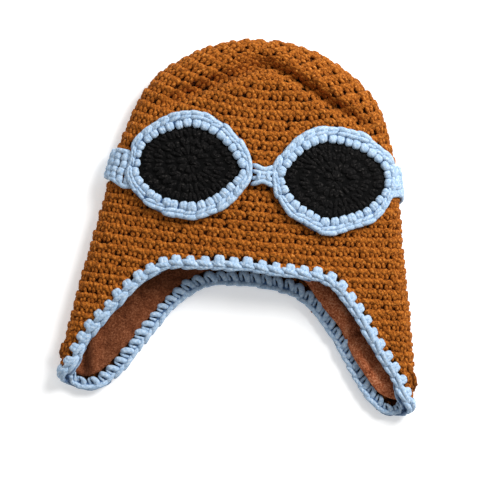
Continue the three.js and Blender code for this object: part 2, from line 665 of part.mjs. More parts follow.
// The strap: from the outer end of one frame over the side fold, round the back and
// over the other fold to the other frame.
function headStrap(leftCurve, rightCurve) {
  const points = [];
  const edges = [-1, -0.5, 0, 0.5, 1].map((side) => STRAP_ROW + side * STRAP_HALF_ROWS);
  const foldSteps = 8;
  const backSteps = 10;
  const frontSteps = 2;
  const shortest = 0.02;
  const foldStart = 1.05;
  // The lap at which a row meets a frame's outer edge.
  const startLap = (row, curve, towards) => {
    const firstGuess = 0.9;
    let lap = towards > 0 ? firstGuess : LAP_END - firstGuess;
    const passes = 12;
    for (let i = 0; i < passes; i += 1) {
      const risen = row - strapRise(lap);
      const place = plump(lap, risen);
      const x = frameEdgeX(curve, place.y, towards) + towards * END_GAP;
      const width = blend(SECTIONS, 'row', 'width', risen) * HEAD_HALF_WIDTH;
      const roll = blend(SECTIONS, 'row', 'roll', risen) * FOLD_RADIUS;
      const reach = Math.min(Math.abs(x) / (width - roll), 1);
      const over = Math.max((Math.abs(x) - width + roll) / roll, 0);
      const half = over > 0 ? 1 + Math.asin(Math.min(over, 1)) / Math.PI : reach;
      lap = towards > 0 ? half : LAP_END - half;
    }
    return lap;
  };
  const strip = (row) => {
    const first = startLap(row, rightCurve, 1);
    const last = startLap(row, leftCurve, -1);
    const laps = [];
    const fill = (from, to, count) => {
      for (let i = 0; i < count; i += 1) {
        laps.push(from + (to - from) * i / count);
      }
    };
    const rightTop = Math.max(first + shortest, foldStart);
    const leftTop = Math.min(last - shortest, LAP_END - foldStart);
    fill(first, rightTop, frontSteps);
    fill(rightTop, RIGHT_FOLD_END, foldSteps);
    fill(RIGHT_FOLD_END, LEFT_FOLD_START, backSteps);
    fill(LEFT_FOLD_START, leftTop, foldSteps);
    fill(leftTop, last, frontSteps);
    laps.push(last);
    return laps;
  };
  const strips = edges.map(strip);
  const grid = (depth) => strips.map((laps, i) => laps.map(
    (lap) => points.push(under(lap, edges[i] - strapRise(lap), -depth)) - 1,
  ));
  return slab('head_strap', points, grid(SEAT_GAP), grid(SEAT_GAP + STRAP_THICKNESS));
}

const leftCurve = lensCurve(LEFT_LENS, LEFT_LENS_X, LEFT_LENS_Y, 1);
const rightCurve = lensCurve(RIGHT_LENS, RIGHT_LENS_X, RIGHT_LENS_Y, -1);

const pieces = [
  knitBody(),
  fleeceLining(),
  edgeTrim(),
  lens('left_lens', leftCurve, LEFT_LENS_X, LEFT_LENS_Y),
  lens('right_lens', rightCurve, RIGHT_LENS_X, RIGHT_LENS_Y),
  goggleFrame('left_goggle_frame', leftCurve),
  goggleFrame('right_goggle_frame', rightCurve),
  noseBridge(leftCurve, rightCurve),
  headStrap(leftCurve, rightCurve),
];

const hat = new THREE.Group();
hat.add(...pieces);

// The origin is under the middle of the hat, on the surface that it lies on.
const box = new THREE.Box3().setFromObject(hat);
const centre = box.getCenter(new THREE.Vector3());
hat.position.set(-centre.x, -centre.y, -box.min.z);

export default hat;
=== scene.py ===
# A child's crocheted aviator hat with goggles, lying on its back on a white surface.
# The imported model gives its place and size. The looks are built here: every stitch of
# the cloth, the blue edging, the goggles and their strap, and the fleece lining.

import math

import bmesh
import bpy
import numpy as np
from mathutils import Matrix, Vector


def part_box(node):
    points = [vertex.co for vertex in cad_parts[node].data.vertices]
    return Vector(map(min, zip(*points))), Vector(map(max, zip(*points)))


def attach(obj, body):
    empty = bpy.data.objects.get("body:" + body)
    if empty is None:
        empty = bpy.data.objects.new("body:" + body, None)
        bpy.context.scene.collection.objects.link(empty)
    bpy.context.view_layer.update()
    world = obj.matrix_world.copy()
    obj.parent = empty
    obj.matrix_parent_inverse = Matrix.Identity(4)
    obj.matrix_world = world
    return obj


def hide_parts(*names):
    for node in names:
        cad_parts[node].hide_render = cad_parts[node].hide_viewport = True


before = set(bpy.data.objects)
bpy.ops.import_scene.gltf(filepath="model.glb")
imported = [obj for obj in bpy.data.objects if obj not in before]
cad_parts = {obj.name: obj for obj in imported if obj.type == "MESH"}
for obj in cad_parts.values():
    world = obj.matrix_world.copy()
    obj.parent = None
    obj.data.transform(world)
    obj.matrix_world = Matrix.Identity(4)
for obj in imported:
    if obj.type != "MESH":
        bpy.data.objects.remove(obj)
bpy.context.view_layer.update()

MM = 0.001
SEED = 11

# Sizes of the hat in millimetres, on the drawing that the model was made from
STRAP_LINE_Y = 38.0
HEAD_HALF_WIDTH = 110.0
CROWN_RISE = 109.0
FLAP_DROP = 158.5
FOLD_RADIUS = 10.0
FRONT_SWELL = 16.0
YARN_WALL = 4.5
LINING_GAP = 0.3
LINING_WALL = 2.0
LINING_SHORT = 8.0
HEM_WAVE = 1.6
CROWN_FOLD_INSET = 20.0
CROWN_FOLD_MIDDLE = 1.0
CROWN_FOLD_SLOPE = 0.55
CROWN_FOLD_ROUND = 8.0
CROWN_FOLD_DEPTH = 9.0
CROWN_FOLD_SPREAD = 4.6
CROWN_FOLD_OUTER_SPREAD = 3.6
CROWN_PUFF_STEP = 8.5
CROWN_PUFF_RISE = 3.2
CROWN_PUFF_SPREAD = 4.6
CROWN_RIDGE_STEP = 7.0
CROWN_RIDGE_RISE = 3.0
CROWN_RIDGE_SPREAD = 6.0
CROWN_FOLD_ARC = 50.0
CROWN_FOLD_FADE = 14.0
# The fold's left half is deeper by a share, wider outside and narrower inside by
# millimetres, and the puff beyond it lower by a share. It changes over between two places
LEFT_FOLD_DEEPER = 0.3
LEFT_FOLD_WIDER = 2.4
LEFT_FOLD_CLOSER = 1.2
LEFT_PUFF_LOWER = 0.5
LEFT_FOLD_FROM_X = 8.0
LEFT_FOLD_TO_X = -14.0
LENS_HALF_WIDTH = 36.0
LENS_HALF_HEIGHT = 27.0
LEFT_LENS_CENTRE = (-47.8, 50.0)
RIGHT_LENS_CENTRE = (56.4, 48.0)
BRIDGE_LOW_Y = 39.5
BRIDGE_TOP_Y = 54.5
BRIDGE_MIDDLE_X = 5.2
STRAP_THICKNESS = 3.0
STRAP_WIDTH = 20.0
STRAP_ROW = 17.15
STRAP_ROW_PITCH = 9.4
STRAP_RIGHT_RISE = 6.5
SEAT_GAP = 0.3
CHANNEL_MARGIN = 0.15
CHANNEL_RAMP = 0.65

# The yarn's gauge. The stitches are drawn wider in the middle of each layer than at the
# side folds by this share either way
STITCH_WIDTH = 8.4
ROW_HEIGHT = 7.4
STITCH_SPREAD = 0.13

# Sections of the flattened tube by crochet row: shares of the sizes above
SECTION_COLUMNS = ("row", "width", "fold", "front", "back", "roll", "mid", "swell")
SECTIONS = np.array([
    (0, 0.0, 1.0, 1.0, 1.0, 0.0, 0.8, 0.0),
    (1, 0.086, 0.995, 0.97, 0.972, 0.76, 0.86, 0.0),
    (2, 0.173, 0.984, 0.905, 0.908, 1.0, 1.0, 0.0),
    (4, 0.336, 0.939, 0.826, 0.844, 1.0, 1.0, 0.25),
    (6, 0.495, 0.866, 0.738, 0.752, 1.0, 1.0, 0.55),
    (9, 0.714, 0.697, 0.55, 0.555, 1.0, 1.0, 0.8),
    (12, 0.835, 0.495, 0.349, 0.358, 1.0, 1.0, 0.94),
    (15, 0.918, 0.257, 0.147, 0.156, 1.0, 1.0, 1.0),
    (18, 0.973, 0.0, -0.038, -0.028, 1.0, 1.0, 1.0),
    (22, 1.018, -0.189, -0.221, -0.211, 1.0, 1.0, 0.98),
    (26, 1.073, -0.379, -0.404, -0.396, 1.0, 1.0, 0.94),
    (30, 1.125, -0.568, -0.587, -0.58, 1.0, 1.0, 0.75),
    (34, 1.168, -0.757, -0.773, -0.766, 0.96, 0.96, 0.5),
    (37, 1.183, -0.899, -0.912, -0.905, 0.93, 0.93, 0.35),
    (38, 1.163, -0.946, -0.959, -0.952, 0.92, 0.92, 0.3),
    (39, 1.1, -0.993, -1.005, -0.998, 0.91, 0.91, 0.27),
    (42, 0.9, -1.135, -1.145, -1.138, 0.9, 0.9, 0.2),
])
LAST_ROW = SECTIONS[-1, 0]

# The cloth's edge: reach is a share of the way out to the fold, and the others are
# shares of FLAP_DROP below the strap line
RIM_COLUMNS = ("reach", "front_left", "front_right", "back_left", "back_right")
RIM = np.array([
    (0.0, 0.343, 0.343, 0.415, 0.415),
    (0.2, 0.349, 0.352, 0.426, 0.424),
    (0.3, 0.351, 0.353, 0.448, 0.438),
    (0.4, 0.354, 0.356, 0.498, 0.469),
    (0.5, 0.362, 0.361, 0.576, 0.531),
    (0.6, 0.384, 0.387, 0.695, 0.625),
    (0.7, 0.441, 0.459, 0.838, 0.746),
    (0.8, 0.529, 0.566, 0.926, 0.867),
    (0.9, 0.645, 0.7, 0.957, 0.936),
    (0.97, 0.752, 0.781, 0.959, 0.953),
    (1.0, 0.82, 0.815, 0.95, 0.95),
])

# Lens outlines: out towards the nose and up, as shares of the lens's half sizes, and
# the width of the frame beside each point in millimetres
LEFT_LENS = (
    (-1.0, -0.07, 7.9), (-0.93, 0.37, 8.6), (-0.55, 0.78, 11.0), (0.0, 0.99, 12.6),
    (0.51, 0.76, 11.6), (0.87, 0.28, 11.8), (1.0, -0.07, 9.6), (0.84, -0.37, 11.3),
    (0.54, -0.76, 12.6), (0.1, -1.0, 13.0), (-0.5, -0.9, 12.0), (-0.92, -0.5, 11.0),
)
RIGHT_LENS = (
    (-1.0, 0.02, 7.4), (-0.95, 0.4, 8.6), (-0.67, 0.72, 12.0), (-0.22, 0.95, 12.5),
    (0.26, 0.97, 12.5), (0.6, 0.74, 12.2), (0.84, 0.4, 11.5), (1.0, -0.06, 9.8),
    (0.74, -0.6, 11.8), (0.42, -0.84, 12.5), (0.04, -1.0, 12.5), (-0.6, -0.7, 11.8),
    (-0.88, -0.34, 10.3),
)

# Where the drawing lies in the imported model
_, crown_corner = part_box("knit_body")
strap_low, strap_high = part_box("head_strap")
SHIFT = np.array([
    (strap_low.x + strap_high.x) / 2 / MM,
    crown_corner.y / MM - STRAP_LINE_Y - CROWN_RISE,
    0.0,
])


# The surface of the hat

def curve_through(table, names, column, at):
    """Values between a table's lines, on a smooth curve that never swings past them."""
    keys = table[:, 0]
    values = table[:, names.index(column)]
    steps = np.diff(values)
    slopes = np.zeros_like(values)
    inner = (values[2:] - values[:-2]) / (keys[2:] - keys[:-2])
    slopes[1:-1] = np.where(steps[1:] * steps[:-1] <= 0, 0, inner)
    i = np.clip(np.searchsorted(keys[1:], at, side="left"), 0, len(keys) - 2)
    run = keys[i + 1] - keys[i]
    t = np.clip((at - keys[i]) / run, 0, 1)
    return (
        values[i] * (2 * t**3 - 3 * t**2 + 1)
        + slopes[i] * run * (t**3 - 2 * t**2 + t)
        + values[i + 1] * (3 * t**2 - 2 * t**3)
        + slopes[i + 1] * run * (t**3 - t**2)
    )


def section(column, row):
    return curve_through(SECTIONS, SECTION_COLUMNS, column, row)


def smooth(low, high, value):
    t = np.clip((value - low) / (high - low), 0, 1)
    return t * t * (3 - 2 * t)


def level_y(share):
    """The height on the drawing at a share of the crown's rise or the flaps' drop."""
    return STRAP_LINE_Y + share * np.where(share > 0, CROWN_RISE, FLAP_DROP)


def side_of(lap):
    """Side of the hat, and laps counted out from the middle of the front to it."""
    turn = np.mod(lap, 6)
    return np.where(turn <= 3, 1.0, -1.0), np.where(turn <= 3, turn, 6 - turn)


def fold_angle(half):
    """How far round the side fold a place is: 0 on the front, half a turn on the back."""
    return np.pi * np.clip(half - 1, 0, 1)


def crown_dent(x, y):
    """How far the crown's fold, the ridge inside it and the puff beyond it lift the cloth."""
    degrees = np.abs(np.degrees(np.arctan2(x, y - STRAP_LINE_Y)))
    along = 1 - smooth(CROWN_FOLD_ARC - CROWN_FOLD_FADE, CROWN_FOLD_ARC + CROWN_FOLD_FADE, degrees)
    aside = np.hypot(x - CROWN_FOLD_MIDDLE, CROWN_FOLD_ROUND) - CROWN_FOLD_ROUND
    fold_y = STRAP_LINE_Y + CROWN_RISE - CROWN_FOLD_INSET - CROWN_FOLD_SLOPE * aside
    past = (fold_y - y) / math.hypot(1, CROWN_FOLD_SLOPE)
    left = smooth(LEFT_FOLD_FROM_X, LEFT_FOLD_TO_X, x)
    outer = CROWN_FOLD_OUTER_SPREAD + LEFT_FOLD_WIDER * left
    inner = CROWN_FOLD_SPREAD - LEFT_FOLD_CLOSER * left
    valley = np.exp(-((past / np.where(past < 0, outer, inner)) ** 2))
    ridge = np.exp(-(((past - CROWN_RIDGE_STEP) / CROWN_RIDGE_SPREAD) ** 2))
    puff = np.exp(-(((past + CROWN_PUFF_STEP) / CROWN_PUFF_SPREAD) ** 2))
    depth = CROWN_FOLD_DEPTH * (1 + LEFT_FOLD_DEEPER * left)
    rise = CROWN_PUFF_RISE * (1 - LEFT_PUFF_LOWER * left)
    return along * (CROWN_RIDGE_RISE * ridge + rise * puff - depth * valley)


def strap_channel(row):
    """Depth of the shallow channel that the strap lies in on the back."""
    half = STRAP_WIDTH / STRAP_ROW_PITCH / 2 + CHANNEL_MARGIN
    away = np.abs(row - STRAP_ROW)
    return (STRAP_THICKNESS + SEAT_GAP) * (1 - smooth(half, half + CHANNEL_RAMP, away))


def plump(lap, row):
    """Outside of the hat before its crown is dented and its back pressed in."""
    width = section("width", row) * HEAD_HALF_WIDTH
    roll = np.minimum(section("roll", row) * FOLD_RADIUS, width)
    fold_y = level_y(section("fold", row))
    side, half = side_of(lap)
    angle = fold_angle(half)
    reach = np.where(half < 1, half, np.where(half > 2, 3 - half, 1))
    x = side * ((width - roll) * reach + roll * np.sin(angle))
    facing = np.cos(angle)
    bow = 1 - (x / np.maximum(width, 1e-6)) ** 2
    layer_y = np.where(facing > 0, level_y(section("front", row)), level_y(section("back", row)))
    y = fold_y + (layer_y - fold_y) * np.abs(facing) * bow
    swell = section("swell", row) * FRONT_SWELL
    z = section("mid", row) * FOLD_RADIUS + roll * facing + np.maximum(facing, 0) * swell * bow
    return np.stack([x, y, z], axis=-1)


def unit(vectors):
    return vectors / np.maximum(np.linalg.norm(vectors, axis=-1, keepdims=True), 1e-9)


def outward(lap, row):
    step = 0.02
    row = np.maximum(row, 0.05)
    along = plump(lap + step, row) - plump(lap - step, row)
    down = plump(lap, row + step) - plump(lap, row - step)
    return -unit(np.cross(along, down))


def under(lap, row, depth):
    """A point at a depth under the outside, or above it where the depth is negative."""
    lap, row, depth = np.broadcast_arrays(lap, row, depth)
    point = plump(lap, row)
    facing = np.cos(fold_angle(side_of(lap)[1]))
    dent = crown_dent(point[..., 0], point[..., 1])
    lift = np.where(facing > 0, facing * dent, -facing * strap_channel(row))
    point = point - outward(lap, row) * depth[..., None]
    point[..., 2] += lift
    return point


def girth(row):
    """Flat width between the folds' centres, fold radius and length once round."""
    width = section("width", row) * HEAD_HALF_WIDTH
    roll = np.minimum(section("roll", row) * FOLD_RADIUS, width)
    flat = np.maximum(width - roll, 1e-3)
    return flat, roll, 4 * flat + 2 * np.pi * roll


def lap_at(share, row):
    """The lap at a share of the way round, by length, from the middle of the front."""
    flat, roll, around = girth(row)
    turn = np.mod(share + 0.5, 1) - 0.5
    s = np.abs(turn) * around
    fold = np.pi * roll
    half = np.where(s < flat, s / flat, np.where(
        s < flat + fold, 1 + (s - flat) / np.maximum(fold, 1e-6), 2 + (s - flat - fold) / flat))
    return np.where(turn >= 0, half, 6 - half)


def rim_y(lap):
    """Height of the cloth's edge."""
    side, half = side_of(lap)

    def drop_on(layer, reach):
        left = curve_through(RIM, RIM_COLUMNS, layer + "_left", reach)
        right = curve_through(RIM, RIM_COLUMNS, layer + "_right", reach)
        return np.where(side < 0, left, right)

    front = drop_on("front", np.clip(half, 0, 1))
    back = drop_on("back", np.clip(3 - half, 0, 1))
    turned = np.sqrt(np.sin(fold_angle(half) / 2))
    drop = np.where(half <= 1, front, np.where(half >= 2, back, front + (back - front) * turned))
    return STRAP_LINE_Y - drop * FLAP_DROP


def rim_row(lap):
    """The row at which the cloth ends, found by halving."""
    low = np.zeros_like(lap)
    high = np.full_like(lap, LAST_ROW)
    for _ in range(30):
        middle = (low + high) / 2
        above_rim = plump(lap, middle)[..., 1] > rim_y(lap)
        low = np.where(above_rim, middle, low)
        high = np.where(above_rim, high, middle)
    return (low + high) / 2


def on_front(x, y):
    """Lap and row of the front surface over a place in plan."""
    low = np.full_like(x, 1.0)
    high = np.full_like(x, LAST_ROW)
    for _ in range(30):
        row = (low + high) / 2
        flat, roll, _ = girth(row)
        over = np.clip((np.abs(x) - flat) / roll, 0, 1)
        half = np.where(np.abs(x) <= flat, np.abs(x) / flat, 1 + np.arcsin(over) / np.pi)
        lap = np.where(x < 0, 6 - half, half)
        beyond = plump(lap, row)[..., 1] > y
        low = np.where(beyond, row, low)
        high = np.where(beyond, high, row)
    return lap, row


# Yarn strands and how they are laid

class Strand:
    """A short length of yarn, or several, as points in millimetres with faces and UVs."""

    def __init__(self, points, faces, uvs):
        self.points = points
        self.faces = faces
        self.uvs = uvs

    def __add__(self, other):
        moved = [tuple(i + len(self.points) for i in face) for face in other.faces]
        return Strand(np.vstack([self.points, other.points]), self.faces + moved, self.uvs + other.uvs)


def spline(points, count):
    """Points at equal parameter steps on a smooth curve through a few."""
    points = np.array(points, float)
    ends = np.vstack([2 * points[0] - points[1], points, 2 * points[-1] - points[-2]])
    t = np.linspace(0, len(points) - 1 - 1e-9, count)
    i = t.astype(int)
    f = (t - i)[:, None]
    a, b, c, d = (ends[i + n] for n in range(4))
    return 0.5 * (2 * b + (c - a) * f + (2 * a - 5 * b + 4 * c - d) * f**2 + (3 * b - a - 3 * c + d) * f**3)


def strand(points, radius, sides=6, rings=7, taper=0.55, squash=1.0):
    """A length of yarn along a path, round in section, with its ends drawn in."""
    path = spline(points, rings)
    ahead = unit(np.gradient(path, axis=0))
    up = np.array([0.0, 0.0, 1.0])
    sideways = unit(np.cross(ahead, up + 1e-4))
    lifted = np.cross(sideways, ahead)
    run = np.concatenate([[0], np.cumsum(np.linalg.norm(np.diff(path, axis=0), axis=1))])
    bm = bmesh.new()
    bmesh.ops.create_grid(bm, x_segments=sides, y_segments=rings - 1, size=0.5)
    uv_layer = bm.loops.layers.uv.new("UVMap")
    for face in bm.faces:
        for loop in face.loops:
            ring = int(round((loop.vert.co.y + 0.5) * (rings - 1)))
            loop[uv_layer].uv = (loop.vert.co.x + 0.5, run[ring])
    for vert in bm.verts:
        ring = int(round((vert.co.y + 0.5) * (rings - 1)))
        angle = -(vert.co.x + 0.5) * 2 * math.pi
        end = min(ring, rings - 1 - ring)
        r = radius * (taper if end == 0 else 0.92 if end == 1 else 1.0)
        out = sideways[ring] * math.cos(angle) * r + lifted[ring] * math.sin(angle) * r * squash
        vert.co = Vector(path[ring] + out)
    bmesh.ops.remove_doubles(bm, verts=bm.verts, dist=1e-4)
    bmesh.ops.holes_fill(bm, edges=bm.edges, sides=sides)
    bmesh.ops.recalc_face_normals(bm, faces=bm.faces)
    bm.verts.index_update()
    verts = np.array([v.co[:] for v in bm.verts])
    faces = [tuple(v.index for v in f.verts) for f in bm.faces]
    uvs = [[tuple(loop[uv_layer].uv) for loop in f.loops] for f in bm.faces]
    bm.free()
    return Strand(verts, faces, uvs)


def together(pieces):
    first, *others = pieces
    return sum(others, first)


def mirrored(piece, axis=0):
    """The same strand on the other side of its middle, its faces turned back out."""
    flip = np.ones(3)
    flip[axis] = -1
    faces = [tuple(reversed(face)) for face in piece.faces]
    uvs = [list(reversed(corner)) for corner in piece.uvs]
    return Strand(piece.points * flip, faces, uvs)


def linked(name, data):
    obj = bpy.data.objects.new(name, data)
    bpy.context.scene.collection.objects.link(obj)
    return obj


def move_to(bm, points):
    """Puts a bmesh's points at places in millimetres on the drawing."""
    for vert, point in zip(bm.verts, points):
        vert.co = Vector((point + SHIFT) * MM)


def finished(name, bm, smooth=True):
    mesh = bpy.data.meshes.new(name)
    bm.to_mesh(mesh)
    bm.free()
    for polygon in mesh.polygons:
        polygon.use_smooth = smooth
    return linked(name, mesh)


def shade_of(template, deep, top):
    """How far up between two heights each point of a strand lies, from 0 to 1, which sets how much painted
    shade darkens it.
    """
    return np.clip((template.points[:, 2] - deep) / (top - deep), 0, 1)


def joined(name, template, places, rng, shade):
    """One mesh of many copies of a strand. places holds each copy's points."""
    copies, points = places.shape[:2]
    sizes = np.array([len(face) for face in template.faces])
    corners = np.concatenate([np.array(face) for face in template.faces])
    loops = (corners[None, :] + (np.arange(copies) * points)[:, None]).ravel()
    uvs = np.concatenate([np.array(corner) for corner in template.uvs])
    shifted = np.repeat(uvs[None], copies, axis=0)
    shifted[..., 1] += rng.uniform(0, 900, (copies, 1))
    # Yarn that presses on the floor goes flat there
    pressed = np.concatenate([places[..., :2], np.maximum(places[..., 2:], 0)], axis=-1)
    mesh = bpy.data.meshes.new(name)
    mesh.vertices.add(copies * points)
    mesh.vertices.foreach_set("co", ((pressed + SHIFT) * MM).astype(np.float32).ravel())
    mesh.loops.add(len(loops))
    mesh.loops.foreach_set("vertex_index", loops.astype(np.int32))
    mesh.polygons.add(copies * len(sizes))
    totals = np.tile(sizes, copies)
    starts = np.concatenate([[0], np.cumsum(totals)[:-1]])
    mesh.polygons.foreach_set("loop_start", starts.astype(np.int32))
    mesh.update(calc_edges=True)
    layer = mesh.uv_layers.new(name="UVMap")
    layer.data.foreach_set("uv", shifted.astype(np.float32).ravel())
    mesh.polygons.foreach_set("use_smooth", np.ones(len(totals), bool))
    # Painted shade: each point's share, from 0 at its darkest to 1 unshaded, that the yarn materials darken
    # its colour by
    heights = mesh.attributes.new("shade", "FLOAT", "POINT")
    heights.data.foreach_set("value", np.tile(shade, copies).astype(np.float32))
    return linked(name, mesh)


def wobble(template, count, rng, turn=0.06, grow=0.05, slip=0.25):
    """Copies of a strand's points, each turned, grown and slipped a little."""
    angle = rng.normal(0, turn, count)
    scale = 1 + rng.normal(0, grow, count)
    points = template.points
    x = points[None, :, 0] * np.cos(angle)[:, None] - points[None, :, 1] * np.sin(angle)[:, None]
    y = points[None, :, 0] * np.sin(angle)[:, None] + points[None, :, 1] * np.cos(angle)[:, None]
    z = np.repeat(points[None, :, 2], count, axis=0)
    out = np.stack([x, y, z], axis=-1) * scale[:, None, None]
    out[..., :2] += rng.normal(0, slip, (count, 1, 2))
    out[..., 2] += rng.normal(0, slip * 0.5, (count, 1))
    return out


def dress(obj, material, slot, *nodes):
    obj.data.materials.append(material)
    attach(obj, "root")
    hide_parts(*nodes)


# Materials

def linear(hex_colour):
    """An sRGB hex colour as linear RGBA."""
    channels = [int(hex_colour[i:i + 2], 16) / 255 for i in (1, 3, 5)]
    return [c / 12.92 if c <= 0.04045 else ((c + 0.055) / 1.055) ** 2.4 for c in channels] + [1.0]


def add(tree, kind, settings=None, **inputs):
    """Adds a node with its settings, and links or sets its inputs by name or number."""
    node = tree.nodes.new(kind)
    for key, value in (settings or {}).items():
        setattr(node, key, value)
    for key, value in inputs.items():
        socket = node.inputs[int(key[1:])] if key[0] == "_" else node.inputs[key.replace("_", " ")]
        if isinstance(value, bpy.types.NodeSocket):
            tree.links.new(value, socket)
        else:
            socket.default_value = value
    return node


def new_material(name, roughness, sheen, sheen_tint):
    material = bpy.data.materials.new(name)
    material.use_nodes = True
    tree = material.node_tree
    shader = tree.nodes["Principled BSDF"]
    shader.inputs["Roughness"].default_value = roughness
    shader.inputs["Sheen Weight"].default_value = sheen
    shader.inputs["Sheen Roughness"].default_value = 0.5
    shader.inputs["Sheen Tint"].default_value = linear(sheen_tint)
    shader.inputs["Specular IOR Level"].default_value = 0.15
    return material, tree, shader


def ramp(tree, factor, stops):
    node = add(tree, "ShaderNodeValToRGB", Fac=factor)
    elements = node.color_ramp.elements
    while len(elements) < len(stops):
        elements.new(0.5)
    for element, (place, colour) in zip(elements, stops):
        element.position = place
        element.color = linear(colour)
    return node


def yarn(name, stops, hollow, ply_pitch, bump_mm, sheen, sheen_tint):
    """Plied yarn: strands wound round each other, with painted shade that darkens them where they sink
    between others.
    """
    material, tree, shader = new_material(name, 0.92, sheen, sheen_tint)
    place = add(tree, "ShaderNodeTexCoord")
    parts = add(tree, "ShaderNodeSeparateXYZ", _0=place.outputs["UV"])
    # Three plies: the stripe climbs one ply round while it runs ply_pitch along
    along = add(tree, "ShaderNodeMath", {"operation": "DIVIDE"}, _0=parts.outputs["Y"], _1=ply_pitch)
    around = add(tree, "ShaderNodeMath", {"operation": "MULTIPLY_ADD"}, _0=parts.outputs["X"], _1=3.0,
                 _2=along.outputs[0])
    turn = add(tree, "ShaderNodeMath", {"operation": "MULTIPLY"}, _0=around.outputs[0], _1=2 * math.pi)
    ply = add(tree, "ShaderNodeMath", {"operation": "SINE"}, _0=turn.outputs[0])
    fleck, fibre = 1.6 * MM, 0.5 * MM
    flecks = add(tree, "ShaderNodeTexNoise", Vector=place.outputs["Object"], Scale=1 / fleck,
                 Detail=3.0, Roughness=0.7)
    fibres = add(tree, "ShaderNodeTexNoise", Vector=place.outputs["Object"], Scale=1 / fibre,
                 Detail=2.0, Roughness=0.6)
    mix = add(tree, "ShaderNodeMath", {"operation": "MULTIPLY_ADD"}, _0=ply.outputs[0], _1=0.035,
              _2=flecks.outputs["Fac"])
    colours = ramp(tree, mix.outputs[0], stops)
    # Painted shade: the shade attribute picks a tone from the hollow colour, low in a stitch, up to white,
    # high in it, and the yarn's colour is multiplied by it
    painted_shade_share = add(tree, "ShaderNodeAttribute", {"attribute_name": "shade"})
    dim = ramp(tree, painted_shade_share.outputs["Fac"], ((0.0, hollow), (0.75, "#FFFFFF")))
    colour_with_painted_shade = add(tree, "ShaderNodeMix", {"data_type": "RGBA", "blend_type": "MULTIPLY"}, _0=1.0,
                _6=colours.outputs["Color"], _7=dim.outputs["Color"])
    height = add(tree, "ShaderNodeMath", {"operation": "MULTIPLY_ADD"}, _0=ply.outputs[0], _1=0.25,
                 _2=fibres.outputs["Fac"])
    bump = add(tree, "ShaderNodeBump", Strength=1.0, Distance=bump_mm * MM, Height=height.outputs[0])
    tree.links.new(colour_with_painted_shade.outputs[2], shader.inputs["Base Color"])
    tree.links.new(bump.outputs["Normal"], shader.inputs["Normal"])
    return material


# The colour after each yarn's stops is its painted shade colour, which the lowest points of its stitches are
# darkened to
rust_yarn = yarn("rust_acrylic_yarn_plied", (
    (0.28, "#4A2406"), (0.42, "#7E430F"), (0.54, "#A65D1B"), (0.66, "#C47B30"), (0.78, "#DFA05C")),
    "#6A4E40", 2.6, 0.22, 0.1, "#E0A060")
blue_yarn = yarn("light_blue_acrylic_yarn_plied", (
    (0.3, "#84A2C2"), (0.45, "#9FBAD5"), (0.58, "#B5CADF"), (0.72, "#D2DEEA")),
    "#7C92AE", 2.8, 0.26, 0.1, "#FFFFFF")
black_yarn = yarn("black_brushed_yarn", (
    (0.3, "#020202"), (0.48, "#080707"), (0.6, "#171515"), (0.74, "#403D3A")),
    "#585858", 2.4, 0.35, 0.06, "#777777")


def fleece(name):
    """Brushed fleece: a short dense nap that catches light at grazing angles."""
    material, tree, shader = new_material(name, 0.95, 0.35, "#B06A48")
    place = add(tree, "ShaderNodeTexCoord")
    tuft, clump = 1.3 * MM, 7.0 * MM
    nap = add(tree, "ShaderNodeTexNoise", Vector=place.outputs["Object"], Scale=1 / tuft, Detail=5.0,
              Roughness=0.75)
    clumps = add(tree, "ShaderNodeTexNoise", Vector=place.outputs["Object"], Scale=1 / clump, Detail=3.0,
                 Roughness=0.55)
    blend = add(tree, "ShaderNodeMath", {"operation": "MULTIPLY_ADD"}, _0=clumps.outputs["Fac"], _1=0.35,
                _2=nap.outputs["Fac"])
    # Painted shade and light: the fleece takes a darker ramp in the left flap for the shade on it and a
    # lighter, redder ramp in the right flap for the light on it, blended across by x
    away = ramp(tree, blend.outputs[0], ((0.5, "#3E1C0C"), (0.68, "#6E3A20"), (0.86, "#9A6142")))
    towards = ramp(tree, blend.outputs[0], ((0.5, "#5E2812"), (0.68, "#B0603A"), (0.86, "#E09E76")))
    parts = add(tree, "ShaderNodeSeparateXYZ", _0=place.outputs["Object"])
    side = add(tree, "ShaderNodeMapRange", {"interpolation_type": "SMOOTHSTEP"}, Value=parts.outputs["X"],
               From_Min=-30 * MM, From_Max=60 * MM)
    colours = add(tree, "ShaderNodeMix", {"data_type": "RGBA"}, _0=side.outputs[0],
                  _6=away.outputs["Color"], _7=towards.outputs["Color"])
    bump = add(tree, "ShaderNodeBump", Strength=1.0, Distance=0.7 * MM, Height=nap.outputs["Fac"])
    tree.links.new(colours.outputs[2], shader.inputs["Base Color"])
    tree.links.new(bump.outputs["Normal"], shader.inputs["Normal"])
    return material


brown_fleece = fleece("brown_polyester_fleece")


def cloth_ground():
    """The inside of the crochet between its stitches, with the inner loops: the rust yarn there coloured
    near black as painted shade in the holes, darkest between the loops.
    """
    material, tree, shader = new_material("rust_crochet_ground_painted_shade", 0.95, 0.1, "#A06030")
    place = add(tree, "ShaderNodeTexCoord")
    loop = 5.0 * MM
    loops = add(tree, "ShaderNodeTexVoronoi", Vector=place.outputs["Object"], Scale=1 / loop,
                Randomness=0.5)
    # Painted shade: dark brown at each loop's middle down to near black between the loops
    colours = ramp(tree, loops.outputs["Distance"], ((0.0, "#5E2F0E"), (0.4, "#371906"), (0.8, "#180A03")))
    bump = add(tree, "ShaderNodeBump", Strength=1.0, Distance=1.5 * MM, Height=loops.outputs["Distance"])
    bump.invert = True
    tree.links.new(colours.outputs["Color"], shader.inputs["Base Color"])
    tree.links.new(bump.outputs["Normal"], shader.inputs["Normal"])
    return material


ground_yarn_painted_shade = cloth_ground()


# The cloth and its lining

